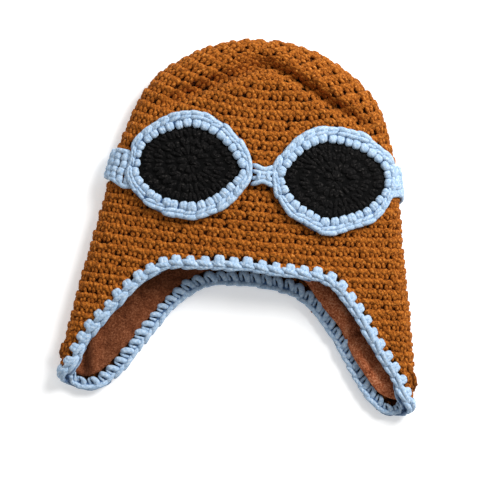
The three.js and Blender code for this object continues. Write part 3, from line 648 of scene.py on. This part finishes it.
def shell(name, edge_of, depth, thickness, columns=120, rows=90, wrinkle=None):
    """A hollow cap that follows the hat at a depth, open at its edge, with a wall."""
    bm = bmesh.new()
    bmesh.ops.create_grid(bm, x_segments=columns, y_segments=rows, size=0.5)
    grid = np.array([v.co[:] for v in bm.verts])
    lap = (grid[:, 0] + 0.5) * 6
    share = grid[:, 1] + 0.5
    row = share * edge_of(lap)
    points = under(lap, row, np.full_like(lap, depth))
    if wrinkle is not None:
        points = wrinkle(points, lap, row)
    move_to(bm, points)
    bmesh.ops.remove_doubles(bm, verts=bm.verts, dist=1e-5)
    bmesh.ops.recalc_face_normals(bm, faces=bm.faces)
    obj = finished(name, bm)
    wall = obj.modifiers.new("wall", "SOLIDIFY")
    wall.thickness = thickness * MM
    wall.offset = -1
    return obj


FLAP_TOP_ROW = 22
FLAP_END_ROW = 38


def rows_for(length):
    """The rows that a length down a flap spans."""
    top = level_y(section("fold", np.array(FLAP_TOP_ROW)))
    end = level_y(section("fold", np.array(FLAP_END_ROW)))
    return length * (FLAP_END_ROW - FLAP_TOP_ROW) / (top - end)


# Waves of the lining's loose hem: how many go once round, the height of each as a share
# of HEM_WAVE and the angle that it starts at
HEM_WAVES = ((11, 1.0, 0.0), (22, 0.6, 1.0))

# How much closer to the edging the lining reaches at the flap tips
TIP_FILL = 3.5


def near_tip(lap):
    """1 round a flap's tip and 0 away from it."""
    half = side_of(lap)[1]
    return smooth(1.2, 1.5, half) * (1 - smooth(2.05, 2.2, half))


# In the right flap the hem bulges out and draws in: laps, their widths and millimetres
HEM_BULGES = ((2.5, 0.07, 2.8), (2.37, 0.04, -1.8), (2.29, 0.035, 2.2), (2.15, 0.06, 2.8))


def hem_row(lap):
    """The row at which the lining ends."""
    wave = sum(share * np.sin(lap / 6 * around * 2 * np.pi + start) for around, share, start in HEM_WAVES)
    bulge = sum(size * np.exp(-(((lap - at) / width) ** 2)) for at, width, size in HEM_BULGES)
    short = LINING_SHORT - HEM_WAVE * wave - bulge
    return rim_row(lap) - rows_for(short - TIP_FILL * near_tip(lap))


# Folds of the lining inside the flaps: a place and a way along it in millimetres, its
# half length, half width and height
LINING_FOLDS = (
    ("x", "y", "along_x", "along_y", "length", "width", "height"),
    (-106.0, -96.0, 0.1, -1.0, 24.0, 4.0, 4.6),
    (-113.0, -99.0, 0.1, -1.0, 20.0, 3.0, -1.8),
    (-92.0, -84.0, 0.7, 0.7, 20.0, 5.0, 1.8),
    (-104.0, -113.0, 1.0, 0.1, 9.0, 1.6, 1.4),
    (84.0, -62.0, 1.0, 0.5, 6.5, 3.4, -6.0),
    (73.0, -47.0, 0.7, -1.0, 15.0, 5.0, 4.0),
    (92.0, -88.0, 0.5, -1.0, 20.0, 5.0, 4.0),
)


def fold_height(x, y):
    """How far the lining stands off the cloth at a place in plan."""
    total = np.zeros_like(x)
    for fx, fy, ax, ay, length, width, height in LINING_FOLDS[1:]:
        size = math.hypot(ax, ay)
        along = ((x - fx) * ax + (y - fy) * ay) / size
        across = ((y - fy) * ax - (x - fx) * ay) / size
        total += height * np.exp(-((along / length) ** 2) - (across / width) ** 2)
    return total


GROUND_DEPTH = 3.4


def build_cloth_ground():
    wall = YARN_WALL - GROUND_DEPTH
    obj = shell("crochet_ground", rim_row, GROUND_DEPTH, wall)
    # Its material is painted shade for the holes between the stitches
    dress(obj, ground_yarn_painted_shade, "rust_yarn", "knit_body")


# How far the lining is creased all over, how far it swells near its hem, in waves too,
# how much further in the right flap, and how much thinner than its wall it is, in millimetres
CREASE = 0.4
HEM_SWELL = 1.2
HEM_SWELL_WAVE = 1.0
HEM_SWELL_RIGHT = 4.2
LINING_THINNER = 0.3


def build_lining():
    def wrinkle(points, lap, row):
        half = side_of(lap)[1]
        on_back = smooth(1.6, 2.0, half)
        soft = CREASE * np.sin(lap * 9 + row * 0.5) * np.sin(row * 0.8) * smooth(3, 8, row)
        # Near its hem the lining stands off the cloth in long soft waves
        near_hem = smooth(5, 1.2, hem_row(lap) - row)
        on_right = smooth(2.9, 2.6, lap) * smooth(1.95, 2.1, lap)
        roll = 1 - 0.5 * smooth(0.9, 0.0, hem_row(lap) - row)
        wave = HEM_SWELL_WAVE * np.sin(lap * 12 + 1.0)
        swell = near_hem * (HEM_SWELL + wave + HEM_SWELL_RIGHT * on_right) * roll
        points[:, 2] += soft + on_back * (swell + fold_height(points[:, 0], points[:, 1]))
        return points

    depth = YARN_WALL + LINING_GAP + LINING_THINNER
    obj = shell("fleece_lining_cloth", hem_row, depth, LINING_WALL - LINING_THINNER,
                columns=300, rows=160, wrinkle=wrinkle)
    dress(obj, brown_fleece, "brown_fleece", "fleece_lining")


def crochet_stitch(lean, hole):
    """One stitch from outside. Two fat strands slant down to the right and link with the
    next stitch's into a rope along the row, and two legs below them leave a hole."""
    first = [(-4.6, -0.7, -3.6), (-3.2, -2.0, -2.2), (-1.3, -2.1, -1.6), (0.5, -1.0 + lean, -1.8),
             (1.7, 0.9 + lean, -3.2)]
    second = [(-0.3, -2.5, -3.2), (1.1, -2.6, -2.2), (2.6, -1.8, -1.9), (3.9, -0.5 + lean, -2.3),
              (4.9, 0.9 + lean, -3.6)]
    near_leg = [(-2.1 + hole, -0.6, -2.6), (-2.1 + hole, 1.5, -2.0), (-2.1 + hole, 4.1, -2.9)]
    far_leg = [(2.5 - hole, -0.4, -2.6), (2.4 - hole, 1.6, -2.2), (2.4 - hole, 4.1, -2.9)]
    return (strand(first, 2.15, rings=6) + strand(second, 2.0, rings=6)
            + strand(near_leg, 1.85, rings=5) + strand(far_leg, 1.75, rings=5))


def drawn(share):
    """Where a share of the way round lies once the cloth is drawn out in its middle."""
    return share + STITCH_SPREAD * np.sin(4 * np.pi * share) / (4 * np.pi)


def lay_on_cloth(points, share, row, count):
    """Puts stitch points, in millimetres, on the hat at a share round and a row."""
    rows = row[:, None] + points[..., 1] / ROW_HEIGHT
    shares = share[:, None] + points[..., 0] / STITCH_WIDTH / count[:, None]
    rows = np.maximum(rows, 0.02)
    return under(lap_at(drawn(shares), rows), rows, -points[..., 2])


def stitch_places(rng):
    shares, rows, counts = [], [], []
    phase = 0.0
    for row in range(1, int(LAST_ROW)):
        around = float(girth(np.array(float(row)))[2])
        count = max(int(round(around / STITCH_WIDTH)), 6)
        phase += 0.5
        share = (np.arange(count) + phase % 1) / count
        lap = lap_at(drawn(share), np.full(count, float(row)))
        keep = row < rim_row(lap) + 0.15
        shares.append(share[keep])
        rows.append(np.full(keep.sum(), float(row)))
        counts.append(np.full(keep.sum(), float(count)))
    return np.concatenate(shares), np.concatenate(rows), np.concatenate(counts)


# The crown and brow are worked in rounds, and the flaps in rows that turn at their ends
FIRST_BROW_ROW = 13
FIRST_TURNED_ROW = 26

# How much further out the crown's stitches stand than the others
CROWN_LIFT = 0.7


def build_stitches():
    rng = np.random.default_rng(SEED)
    plain = crochet_stitch(0.0, 0.5)
    open_row = crochet_stitch(-0.3, 0.7)
    close_row = crochet_stitch(0.7, 0.1)
    share, row, count = stitch_places(rng)
    on_crown = row < FIRST_BROW_ROW
    on_flap = row >= FIRST_TURNED_ROW
    back_row = on_flap & (row % 2 == 1)
    for name, template, chosen in (
        ("crown_stitches", plain, on_crown),
        ("brow_stitches", plain, ~on_crown & ~on_flap),
        ("flap_stitches", open_row, on_flap & ~back_row),
        ("turned_flap_stitches", close_row, back_row),
    ):
        points = wobble(template, chosen.sum(), rng, turn=0.09, slip=0.35)
        points[..., 2] += np.where(on_crown[chosen], CROWN_LIFT, 0.0)[:, None]
        places = lay_on_cloth(points, share[chosen], row[chosen], count[chosen])
        # Painted shade: the parts of each stitch that lie deep in the cloth are darkened
        obj = joined(name, template, places, rng, shade_of(template, -4.8, -1.4))
        dress(obj, rust_yarn, "rust_yarn", "knit_body")


build_cloth_ground()
build_lining()
build_stitches()


# The blue edging

def rim_track():
    """The cloth's edge as a closed track: points, and the ways along, out and down."""
    lap = np.linspace(0, 6, 1441)[:-1]
    row = rim_row(lap)
    depth = (YARN_WALL + LINING_GAP + LINING_WALL) / 2
    points = under(lap, row, np.full_like(lap, depth))
    along = unit(np.roll(points, -6, axis=0) - np.roll(points, 6, axis=0))
    out = outward(lap, row)
    down = unit(np.cross(along, out))
    down = np.where((np.sum(down * [0, -1, 0], axis=1) > 0).mean() > 0.5, down, -down)
    step = np.linalg.norm(np.roll(points, -1, axis=0) - points, axis=1)
    run = np.concatenate([[0], np.cumsum(step)])
    return points, out, down, run


class Track:
    """A closed track that strands are laid along, its points at equal steps of lap."""

    def __init__(self, points, out, down, run):
        self.run = run
        self.laps = np.linspace(0, 6, len(run))
        self.length = run[-1]
        self.columns = [np.vstack([a, a[:1]]) for a in (points, out, down)]

    def at(self, s):
        s = np.mod(s, self.length)
        return [np.stack([np.interp(s, self.run, a[:, k]) for k in range(3)], axis=-1) for a in self.columns]

    def lap_at(self, s):
        return np.interp(np.mod(s, self.length), self.run, self.laps)

    def lay(self, points, s):
        """x of the points runs along the track, y down from it and z out of it."""
        place, out, down = self.at(s[:, None] + points[..., 0])
        return place + unit(out) * points[..., 2:3] + unit(down) * points[..., 1:2]


def edging_tooth():
    """An edging stitch over the outside of the cloth: two legs that lie close as one."""
    left = [(-0.8, -2.9, 1.6), (-0.9, -1.9, 3.0), (-1.0, -0.2, 3.5), (-1.8, 1.8, 3.5), (-2.8, 3.4, 2.6)]
    right = [(0.9, -2.7, 1.6), (0.95, -1.8, 2.9), (1.1, -0.1, 3.4), (1.9, 1.9, 3.4), (2.9, 3.4, 2.6)]
    return (strand(left, 2.65, sides=8, rings=8, squash=0.8)
            + strand(right, 2.5, sides=8, rings=8, squash=0.8))


def edging_hook():
    """The same stitch from the inside: a leaning loop round a dark eye."""
    near = [(-3.0, 3.6, -1.4), (-2.5, 1.3, -3.0), (-1.3, -1.3, -3.8), (0.4, -3.3, -3.7), (2.0, -4.5, -2.2)]
    far = [(1.3, 3.2, -1.2), (2.2, 1.2, -2.3), (3.0, -0.8, -2.8), (3.3, -2.6, -3.0), (2.7, -4.2, -2.2)]
    return strand(near, 2.25, sides=7, rings=8) + strand(far, 1.25, sides=6, rings=8)


def edging_chain():
    """A link of the chain along the edge, seen from outside: two strands that meet."""
    upper = [(-6.6, 1.0, 2.4), (-3.2, 1.6, 4.3), (0.6, 2.4, 4.5), (4.0, 3.2, 3.7), (6.3, 3.9, 2.2)]
    lower = [(-6.6, 5.3, 0.6), (-3.2, 5.2, 2.6), (0.6, 4.8, 3.2), (4.0, 4.2, 2.9), (6.3, 3.7, 2.0)]
    return strand(upper, 1.95, sides=7, rings=8) + strand(lower, 1.95, sides=7, rings=8)


def edging_cord():
    """The chain's inner side: one smooth strand along the edge."""
    path = [(-6.0, 3.6, -1.6), (-3.0, 4.0, -3.0), (0.6, 4.5, -3.3), (4.0, 4.8, -2.4), (6.0, 5.0, -1.2)]
    return strand(path, 1.8, sides=7, rings=8)


def inside_bump():
    """Stitches of the cloth's inner side, between the edging and the lining."""
    near = [(-4.0, -6.6, 0.9), (-2.0, -5.9, 0.0), (0.3, -5.6, -0.2), (2.4, -6.0, 0.0), (4.2, -6.8, 0.9)]
    far = [(-3.6, -9.6, 0.9), (-1.6, -9.0, 0.1), (0.4, -8.8, -0.1), (2.6, -9.2, 0.1), (4.2, -9.8, 0.9)]
    return strand(near, 1.6) + strand(far, 1.6)


def closed_cord(name, lay, length, middle, half_down, half_out, height=0.0, sides=10, steps=480):
    """A closed cord along a track, for what lies behind the strands. It has no shade attribute, so a yarn
    material gives it its full painted shade.
    """
    bm = bmesh.new()
    bmesh.ops.create_grid(bm, x_segments=sides, y_segments=steps, size=0.5)
    grid = np.array([v.co[:] for v in bm.verts])
    angle = (grid[:, 0] + 0.5) * 2 * np.pi
    s = (grid[:, 1] + 0.5) * length
    down = middle + half_down * np.cos(angle)
    local = np.stack([np.zeros_like(s), down, height + half_out * np.sin(angle)], axis=-1)
    points = lay(local[:, None, :], s)[:, 0]
    points[:, 2] = np.maximum(points[:, 2], 0)
    move_to(bm, points)
    bmesh.ops.remove_doubles(bm, verts=bm.verts, dist=1e-5)
    bmesh.ops.recalc_face_normals(bm, faces=bm.faces)
    return finished(name, bm)


# The edging's parts: pitch and slip in millimetres, yarn, slot and node
EDGING_PARTS = (
    ("edging_teeth", edging_tooth, 10.3, 0.3, blue_yarn, "blue_yarn", "edge_trim"),
    ("edging_chain", edging_chain, 10.3, 0.12, blue_yarn, "blue_yarn", "edge_trim"),
    ("edging_hooks", edging_hook, 8.4, 0.3, blue_yarn, "blue_yarn", "edge_trim"),
    ("edging_cord", edging_cord, 8.2, 0.12, blue_yarn, "blue_yarn", "edge_trim"),
    ("inside_stitches", inside_bump, 8.4, 0.3, rust_yarn, "rust_yarn", "knit_body"),
)


# How much closer under the edge the chain lies behind the openings, in millimetres, and
# by what share the stitches inside are shorter at the flap tips
CHAIN_TUCK = 1.4
TIP_SHORTER = 0.55


def build_edging():
    rng = np.random.default_rng(SEED + 1)
    track = Track(*rim_track())
    for name, make, pitch, slip, material, slot, node in EDGING_PARTS:
        template = make()
        count = int(round(track.length / pitch))
        s = np.arange(count) * track.length / count
        points = wobble(template, count, rng, turn=0.05, slip=slip)
        if node == "knit_body" or name == "edging_hooks":
            tip = near_tip(track.lap_at(s))[:, None]
            points[..., 1] *= np.where(points[..., 1] < 0, 1 - TIP_SHORTER * tip, 1.0)
        if name == "edging_chain":
            behind = smooth(2.05, 2.3, side_of(track.lap_at(s))[1])
            points[..., 1] -= CHAIN_TUCK * behind[:, None]
        # Painted shade: a blue strand is darkened where it lies close to the cloth and keeps its colour
        # where it stands out of it on either side, and the rust stitches inside get a fixed part of the
        # painted shade
        proud = np.abs(template.points[:, 2])
        shade = np.clip((proud - 1.2) / 2.2, 0, 1) if material is blue_yarn else np.full(len(proud), 0.5)
        obj = joined(name, template, track.lay(points, s), rng, shade)
        dress(obj, material, slot, node)
    core = closed_cord("edging_core", track.lay, track.length, 2.4, 2.4, 2.9)
    dress(core, blue_yarn, "blue_yarn", "edge_trim")


build_edging()


# Goggles

class Ring:
    """A lens outline as a closed track on the front of the hat."""

    def __init__(self, table, centre, nose):
        self.centre = np.array(centre)
        plan = np.array([(centre[0] + nose * out * LENS_HALF_WIDTH, centre[1] + up * LENS_HALF_HEIGHT, rim)
                         for out, up, rim in table])
        if nose < 0:
            plan = plan[::-1]
        loop = np.vstack([plan[-2:], plan, plan[:3]])
        dense = spline(loop, 1600)
        first = int(round(2 / (len(loop) - 1) * 1599))
        last = int(round((2 + len(plan)) / (len(loop) - 1) * 1599))
        self.points = dense[first:last]
        closing = np.vstack([self.points, self.points[:1]])
        self.run = np.concatenate([[0], np.cumsum(np.linalg.norm(np.diff(closing[:, :2], axis=0), axis=1))])
        self.closing = closing
        self.length = self.run[-1]
        ahead = np.roll(self.points[:, :2], -8, axis=0) - np.roll(self.points[:, :2], 8, axis=0)
        way = np.stack([ahead[:, 1], -ahead[:, 0]], axis=1)
        if np.sum(way * (self.points[:, :2] - self.centre)) < 0:
            way = -way
        way = unit(way)
        self.way = np.vstack([way, way[:1]])

    def rim_at(self, s):
        return np.interp(np.mod(s, self.length), self.run, self.closing[:, 2])

    def plan_at(self, s, of):
        """x and y of the outline, or of the way out from it, at a length along it."""
        s = np.mod(s, self.length)
        return np.stack([np.interp(s, self.run, of[:, k]) for k in range(2)], axis=-1)

    def lay(self, points, s):
        """x runs along the outline, y out from it in plan and z up from the cloth."""
        at = s[:, None] + points[..., 0]
        plan = self.plan_at(at, self.closing) + unit(self.plan_at(at, self.way)) * points[..., 1:2]
        return above(plan[..., 0], plan[..., 1], points[..., 2])

    def lay_row(self, points, s, reach):
        """The same for a row whose stitches keep their width at a reach from the outline."""
        points = points.copy()
        points[..., 0] *= self.length / (self.length + 2 * math.pi * reach)
        # The rows close up where the frame is narrow
        points[..., 1] *= self.rim_at(s[:, None] + points[..., 0]) / FRAME_SPAN
        return self.lay(points, s)


def above(x, y, height):
    lap, row = on_front(x, y)
    return under(lap, row, -height)


# Width that the frame's stitches are drawn for
FRAME_SPAN = 12.6


def frame_blob():
    """A stitch of the frame's inner row, lapping over the edge of the lens."""
    left = [(-0.9, 6.6, 1.2), (-1.0, 5.0, 3.2), (-0.95, 3.2, 4.0), (-0.8, 1.6, 3.6), (-0.6, 0.6, 2.0)]
    right = [(0.95, 6.5, 1.2), (1.0, 5.0, 3.1), (0.9, 3.3, 3.8), (0.75, 1.8, 3.5), (0.55, 0.9, 2.0)]
    return (strand(left, 2.4, sides=7, rings=8, squash=0.8)
            + strand(right, 2.3, sides=7, rings=8, squash=0.8))


def frame_chain():
    """A link of the two rows of strands round the frame's outer edge."""
    inner = [(-4.9, 6.9, 1.8), (-2.8, 7.0, 3.5), (0.2, 7.4, 4.1), (3.0, 8.0, 3.8), (4.9, 8.6, 2.4)]
    outer = [(-6.4, 10.3, 1.4), (-3.2, 10.4, 3.0), (0.4, 10.2, 3.6), (3.6, 9.9, 3.3), (6.2, 9.6, 2.0)]
    return strand(inner, 1.75, sides=7, rings=8) + strand(outer, 2.1, sides=8, rings=8)


def build_frame(side, ring, rng):
    for name, template, pitch, reach in (
        ("frame_loops", frame_blob(), 6.4, 3.0),
        ("frame_chain", frame_chain(), 8.4, 9.0),
    ):
        count = int(round((ring.length + 2 * math.pi * reach) / pitch))
        s = np.arange(count) * ring.length / count
        points = wobble(template, count, rng, turn=0.08, slip=0.22)
        # Painted shade: the low parts of the frame's strands are darkened
        obj = joined(side + "_" + name, template, ring.lay_row(points, s, reach), rng,
                     shade_of(template, 1.0, 3.4))
        dress(obj, blue_yarn, "blue_yarn", side + "_goggle_frame")

    def lay_core(points, s):
        return ring.lay_row(points, s, 0.0)

    core = closed_cord(side + "_frame_core", lay_core, ring.length, 6.2, 5.6, 1.5, height=1.6, steps=240)
    dress(core, blue_yarn, "blue_yarn", side + "_goggle_frame")


LENS_ROUNDS = 4


def build_lens(side, ring, rng):
    stitch = lens_stitch()
    places = []
    for n in range(LENS_ROUNDS):
        share = (n + 0.55) / (LENS_ROUNDS + 0.12)
        count = max(int(round(ring.length * share / 6.2)), 5)
        s = (np.arange(count) + 0.5 * (n % 2)) / count * ring.length
        points = wobble(stitch, count, rng, turn=0.2, slip=0.5)
        out = ring.plan_at(s[:, None] + points[..., 0] / share, ring.closing) - ring.centre
        away = share + points[..., 1] / np.maximum(np.linalg.norm(out, axis=-1), 1)
        plan = ring.centre + out * np.maximum(away, 0.01)[..., None]
        places.append(above(plan[..., 0], plan[..., 1], points[..., 2]))
    # Painted shade: the low parts of the lens's strands are darkened
    obj = joined(side + "_lens_rounds", stitch, np.concatenate(places), rng, shade_of(stitch, 0.9, 3.6))
    dress(obj, black_yarn, "black_yarn", side + "_lens")
    lens_ground(side, ring)


def lens_stitch():
    left = [(-0.3, -3.4, 0.8), (-0.9, -1.9, 2.0), (-1.5, 0.4, 2.5), (-1.9, 2.4, 1.8), (-1.8, 3.6, 0.7)]
    one = strand(left, 1.7, rings=6)
    return one + mirrored(one)


# How far out a lens's ground goes as a share of the outline, and its height
LENS_GROUND_REACH = 1.06
LENS_GROUND_HEIGHT = 1.5


def lens_ground(side, ring):
    """The ground of a lens under its stitches. It has no shade attribute, so the black yarn gives it its
    full painted shade.
    """
    bm = bmesh.new()
    bmesh.ops.create_circle(bm, cap_ends=True, cap_tris=True, segments=64, radius=1.0)
    bmesh.ops.subdivide_edges(bm, edges=bm.edges, cuts=4, use_grid_fill=True)
    grid = np.array([v.co[:] for v in bm.verts])
    share = np.minimum(np.hypot(grid[:, 0], grid[:, 1]), 1)
    at = np.mod(np.arctan2(grid[:, 1], grid[:, 0]) / (2 * np.pi), 1) * ring.length
    out = ring.plan_at(at, ring.closing) - ring.centre
    plan = ring.centre + out * (share * LENS_GROUND_REACH)[:, None]
    move_to(bm, above(plan[:, 0], plan[:, 1], np.full(len(plan), LENS_GROUND_HEIGHT)))
    bmesh.ops.recalc_face_normals(bm, faces=bm.faces)
    obj = finished(side + "_lens_ground", bm, smooth=False)
    wall = obj.modifiers.new("wall", "SOLIDIFY")
    wall.thickness = 1.0 * MM
    dress(obj, black_yarn, "black_yarn", side + "_lens")


def build_goggles():
    rng = np.random.default_rng(SEED + 2)
    for side, table, centre, nose in (
        ("left", LEFT_LENS, LEFT_LENS_CENTRE, 1),
        ("right", RIGHT_LENS, RIGHT_LENS_CENTRE, -1),
    ):
        ring = Ring(table, centre, nose)
        build_frame(side, ring, rng)
        build_lens(side, ring, rng)


build_goggles()


# Strap and nose bridge

RIB_PITCH = 4.7


def rib():
    """A ridge across the strap: short fat strands end to end."""
    pieces = []
    for low, bend in ((-9.5, -0.4), (-4.7, 0.4), (0.1, -0.4), (4.9, 0.4)):
        path = [(0.0, low - 0.5, 0.7), (bend * 0.5, low + 1.0, 1.7), (bend, low + 2.4, 1.9),
                (bend * 0.5, low + 3.8, 1.7), (0.0, low + 5.1, 0.7)]
        pieces.append(strand(path, 2.35, sides=7, rings=6, taper=0.6, squash=0.85))
    return together(pieces)


def strap_edge():
    """A link of the cord along each edge of the strap."""
    path = [(-6.2, -9.6, 0.5), (-3.0, -10.0, 1.6), (0.4, -9.8, 1.9), (3.6, -9.4, 1.5), (5.8, -9.2, 0.5)]
    one = strand(path, 1.5, sides=7, rings=8)
    return one + mirrored(one, axis=1)


# Where the strap leaves the frames: the right one's outer tip and then the left one's,
# in millimetres from the middle of the front
STRAP_FROM_RIGHT = 99.0
STRAP_FROM_LEFT = 91.5


# The strap is wider where it joins the frames: how far that reaches, and by how much its
# upper and lower halves grow there, on the right and on the left
FLARE_LENGTH = 11.0
RIGHT_FLARE = (1.0, 1.0)
LEFT_FLARE = (1.15, 1.5)


# Laps between which it comes down again as it goes round the right fold
STRAP_FALLS_FROM = 1.4
STRAP_FALLS_TO = 1.8


def strap_rise(lap):
    """The rows by which the strap lies higher on the right, until it goes round the fold."""
    return STRAP_RIGHT_RISE / STRAP_ROW_PITCH * (1 - smooth(STRAP_FALLS_FROM, STRAP_FALLS_TO, lap))


def flared(down, from_right, from_left):
    """Places across the strap, drawn apart near its ends."""
    for away, (upper, lower) in ((from_right, RIGHT_FLARE), (from_left, LEFT_FLARE)):
        near = 1 - smooth(0.0, FLARE_LENGTH, away)
        down = down * (1 + near * (np.where(down < 0, upper, lower) - 1))
    return down


def build_strap():
    rng = np.random.default_rng(SEED + 3)
    _, _, around = girth(np.array(STRAP_ROW))
    around = float(around)
    start, end = STRAP_FROM_RIGHT, around - STRAP_FROM_LEFT
    for name, template, pitch in (("strap_ribs", rib(), RIB_PITCH), ("strap_edges", strap_edge(), 8.4)):
        count = int(round((end - start) / pitch)) + 1
        s = np.linspace(start, end, count)
        points = wobble(template, count, rng, turn=0.04, slip=0.2)
        at = s[:, None] + points[..., 0]
        rows = STRAP_ROW + flared(points[..., 1], at - start, end - at) / STRAP_ROW_PITCH
        lap = lap_at(at / around, rows)
        height = np.clip(points[..., 2] + SEAT_GAP, 0.1, STRAP_THICKNESS + 2.2)
        places = under(lap, rows - strap_rise(lap), -height)
        # Painted shade: the low parts of the strap's strands are darkened
        obj = joined(name, template, places, rng, shade_of(template, 0.0, 1.6))
        dress(obj, blue_yarn, "blue_yarn", "head_strap")


def bridge_strands():
    """The bridge's chains, from one frame to the other and drawn in at the waist."""
    pieces = []
    for low, waist, radius in ((-7.6, -4.6, 2.0), (-3.2, -1.6, 1.9), (2.8, 1.5, 1.9), (7.4, 4.7, 2.0)):
        path = [(-8.6, low, 1.4), (-4.6, (low + waist) / 2, 3.4), (-1.4, waist, 3.9), (1.8, waist, 3.7),
                (5.2, (low + waist) / 2, 3.4), (8.6, low, 1.4)]
        pieces.append(strand(path, radius, sides=7, rings=11))
    for x, lean in ((-3.6, 0.9), (3.8, -0.9)):
        path = [(x - lean, -6.0, 1.4), (x, -2.6, 4.4), (x + lean * 0.5, 1.0, 4.6), (x + lean, 5.8, 1.4)]
        pieces.append(strand(path, 1.8, sides=7, rings=8))
    return together(pieces)


def build_bridge():
    rng = np.random.default_rng(SEED + 4)
    template = bridge_strands()
    points = wobble(template, 1, rng, turn=0.0, slip=0.0)
    middle = (BRIDGE_LOW_Y + BRIDGE_TOP_Y) / 2
    places = above(BRIDGE_MIDDLE_X + points[..., 0], middle + points[..., 1], points[..., 2])
    # Painted shade: the low parts of the bridge's strands are darkened
    obj = joined("nose_bridge_stitches", template, places, rng, shade_of(template, 0.5, 4.5))
    dress(obj, blue_yarn, "blue_yarn", "nose_bridge")


build_strap()
build_bridge()


# Floor, light and camera

def build_floor():
    bm = bmesh.new()
    bmesh.ops.create_grid(bm, x_segments=1, y_segments=1, size=3.0)
    material, tree, shader = new_material("white_paper_sweep", 0.9, 0.0, "#FFFFFF")
    shader.inputs["Base Color"].default_value = linear("#F4F4F4")
    # Lit from behind as well, so that it stays white in the photograph's way
    shader.inputs["Emission Color"].default_value = linear("#FFFFFF")
    shader.inputs["Emission Strength"].default_value = 0.33
    obj = finished("floor", bm, smooth=False)
    obj.data.materials.append(material)
    obj.location.z = -0.0002


def area_light(name, place, size, power, target=(0, 0, 0.02)):
    data = bpy.data.lights.new(name, "AREA")
    data.shape = "DISK"
    data.size = size
    data.energy = power
    obj = linked(name, data)
    obj.location = place
    obj.rotation_euler = (Vector(target) - Vector(place)).to_track_quat("-Z", "Y").to_euler()


def build_light():
    bpy.context.scene.view_settings.view_transform = "Standard"
    area_light("key", (0.85, 0.92, 1.1), 0.8, 31.0)
    area_light("fill", (0.0, 1.35, 0.9), 1.9, 7.5)
    world = bpy.data.worlds.new("studio")
    bpy.context.scene.world = world
    world.use_nodes = True
    background = world.node_tree.nodes["Background"]
    background.inputs["Color"].default_value = linear("#FFFFFF")
    background.inputs["Strength"].default_value = 0.38


def build_camera():
    """Straight above, turned to the photograph's five degrees, at its scale."""
    turn = math.radians(5.3)
    scale = 0.73
    frame_pixels = 500
    distance = 1.4
    middle_height = 0.015
    data = bpy.data.cameras.new("camera")
    data.sensor_width = 36.0
    data.lens = 36.0 * (distance - middle_height) / (frame_pixels * scale * MM)
    obj = linked("camera", data)
    centre = np.array([0.67, -7.27, 0.0]) + SHIFT
    obj.location = (centre[0] * MM, centre[1] * MM, distance)
    obj.rotation_euler = (0, 0, turn)
    bpy.context.scene.camera = obj


build_floor()
build_light()
build_camera()
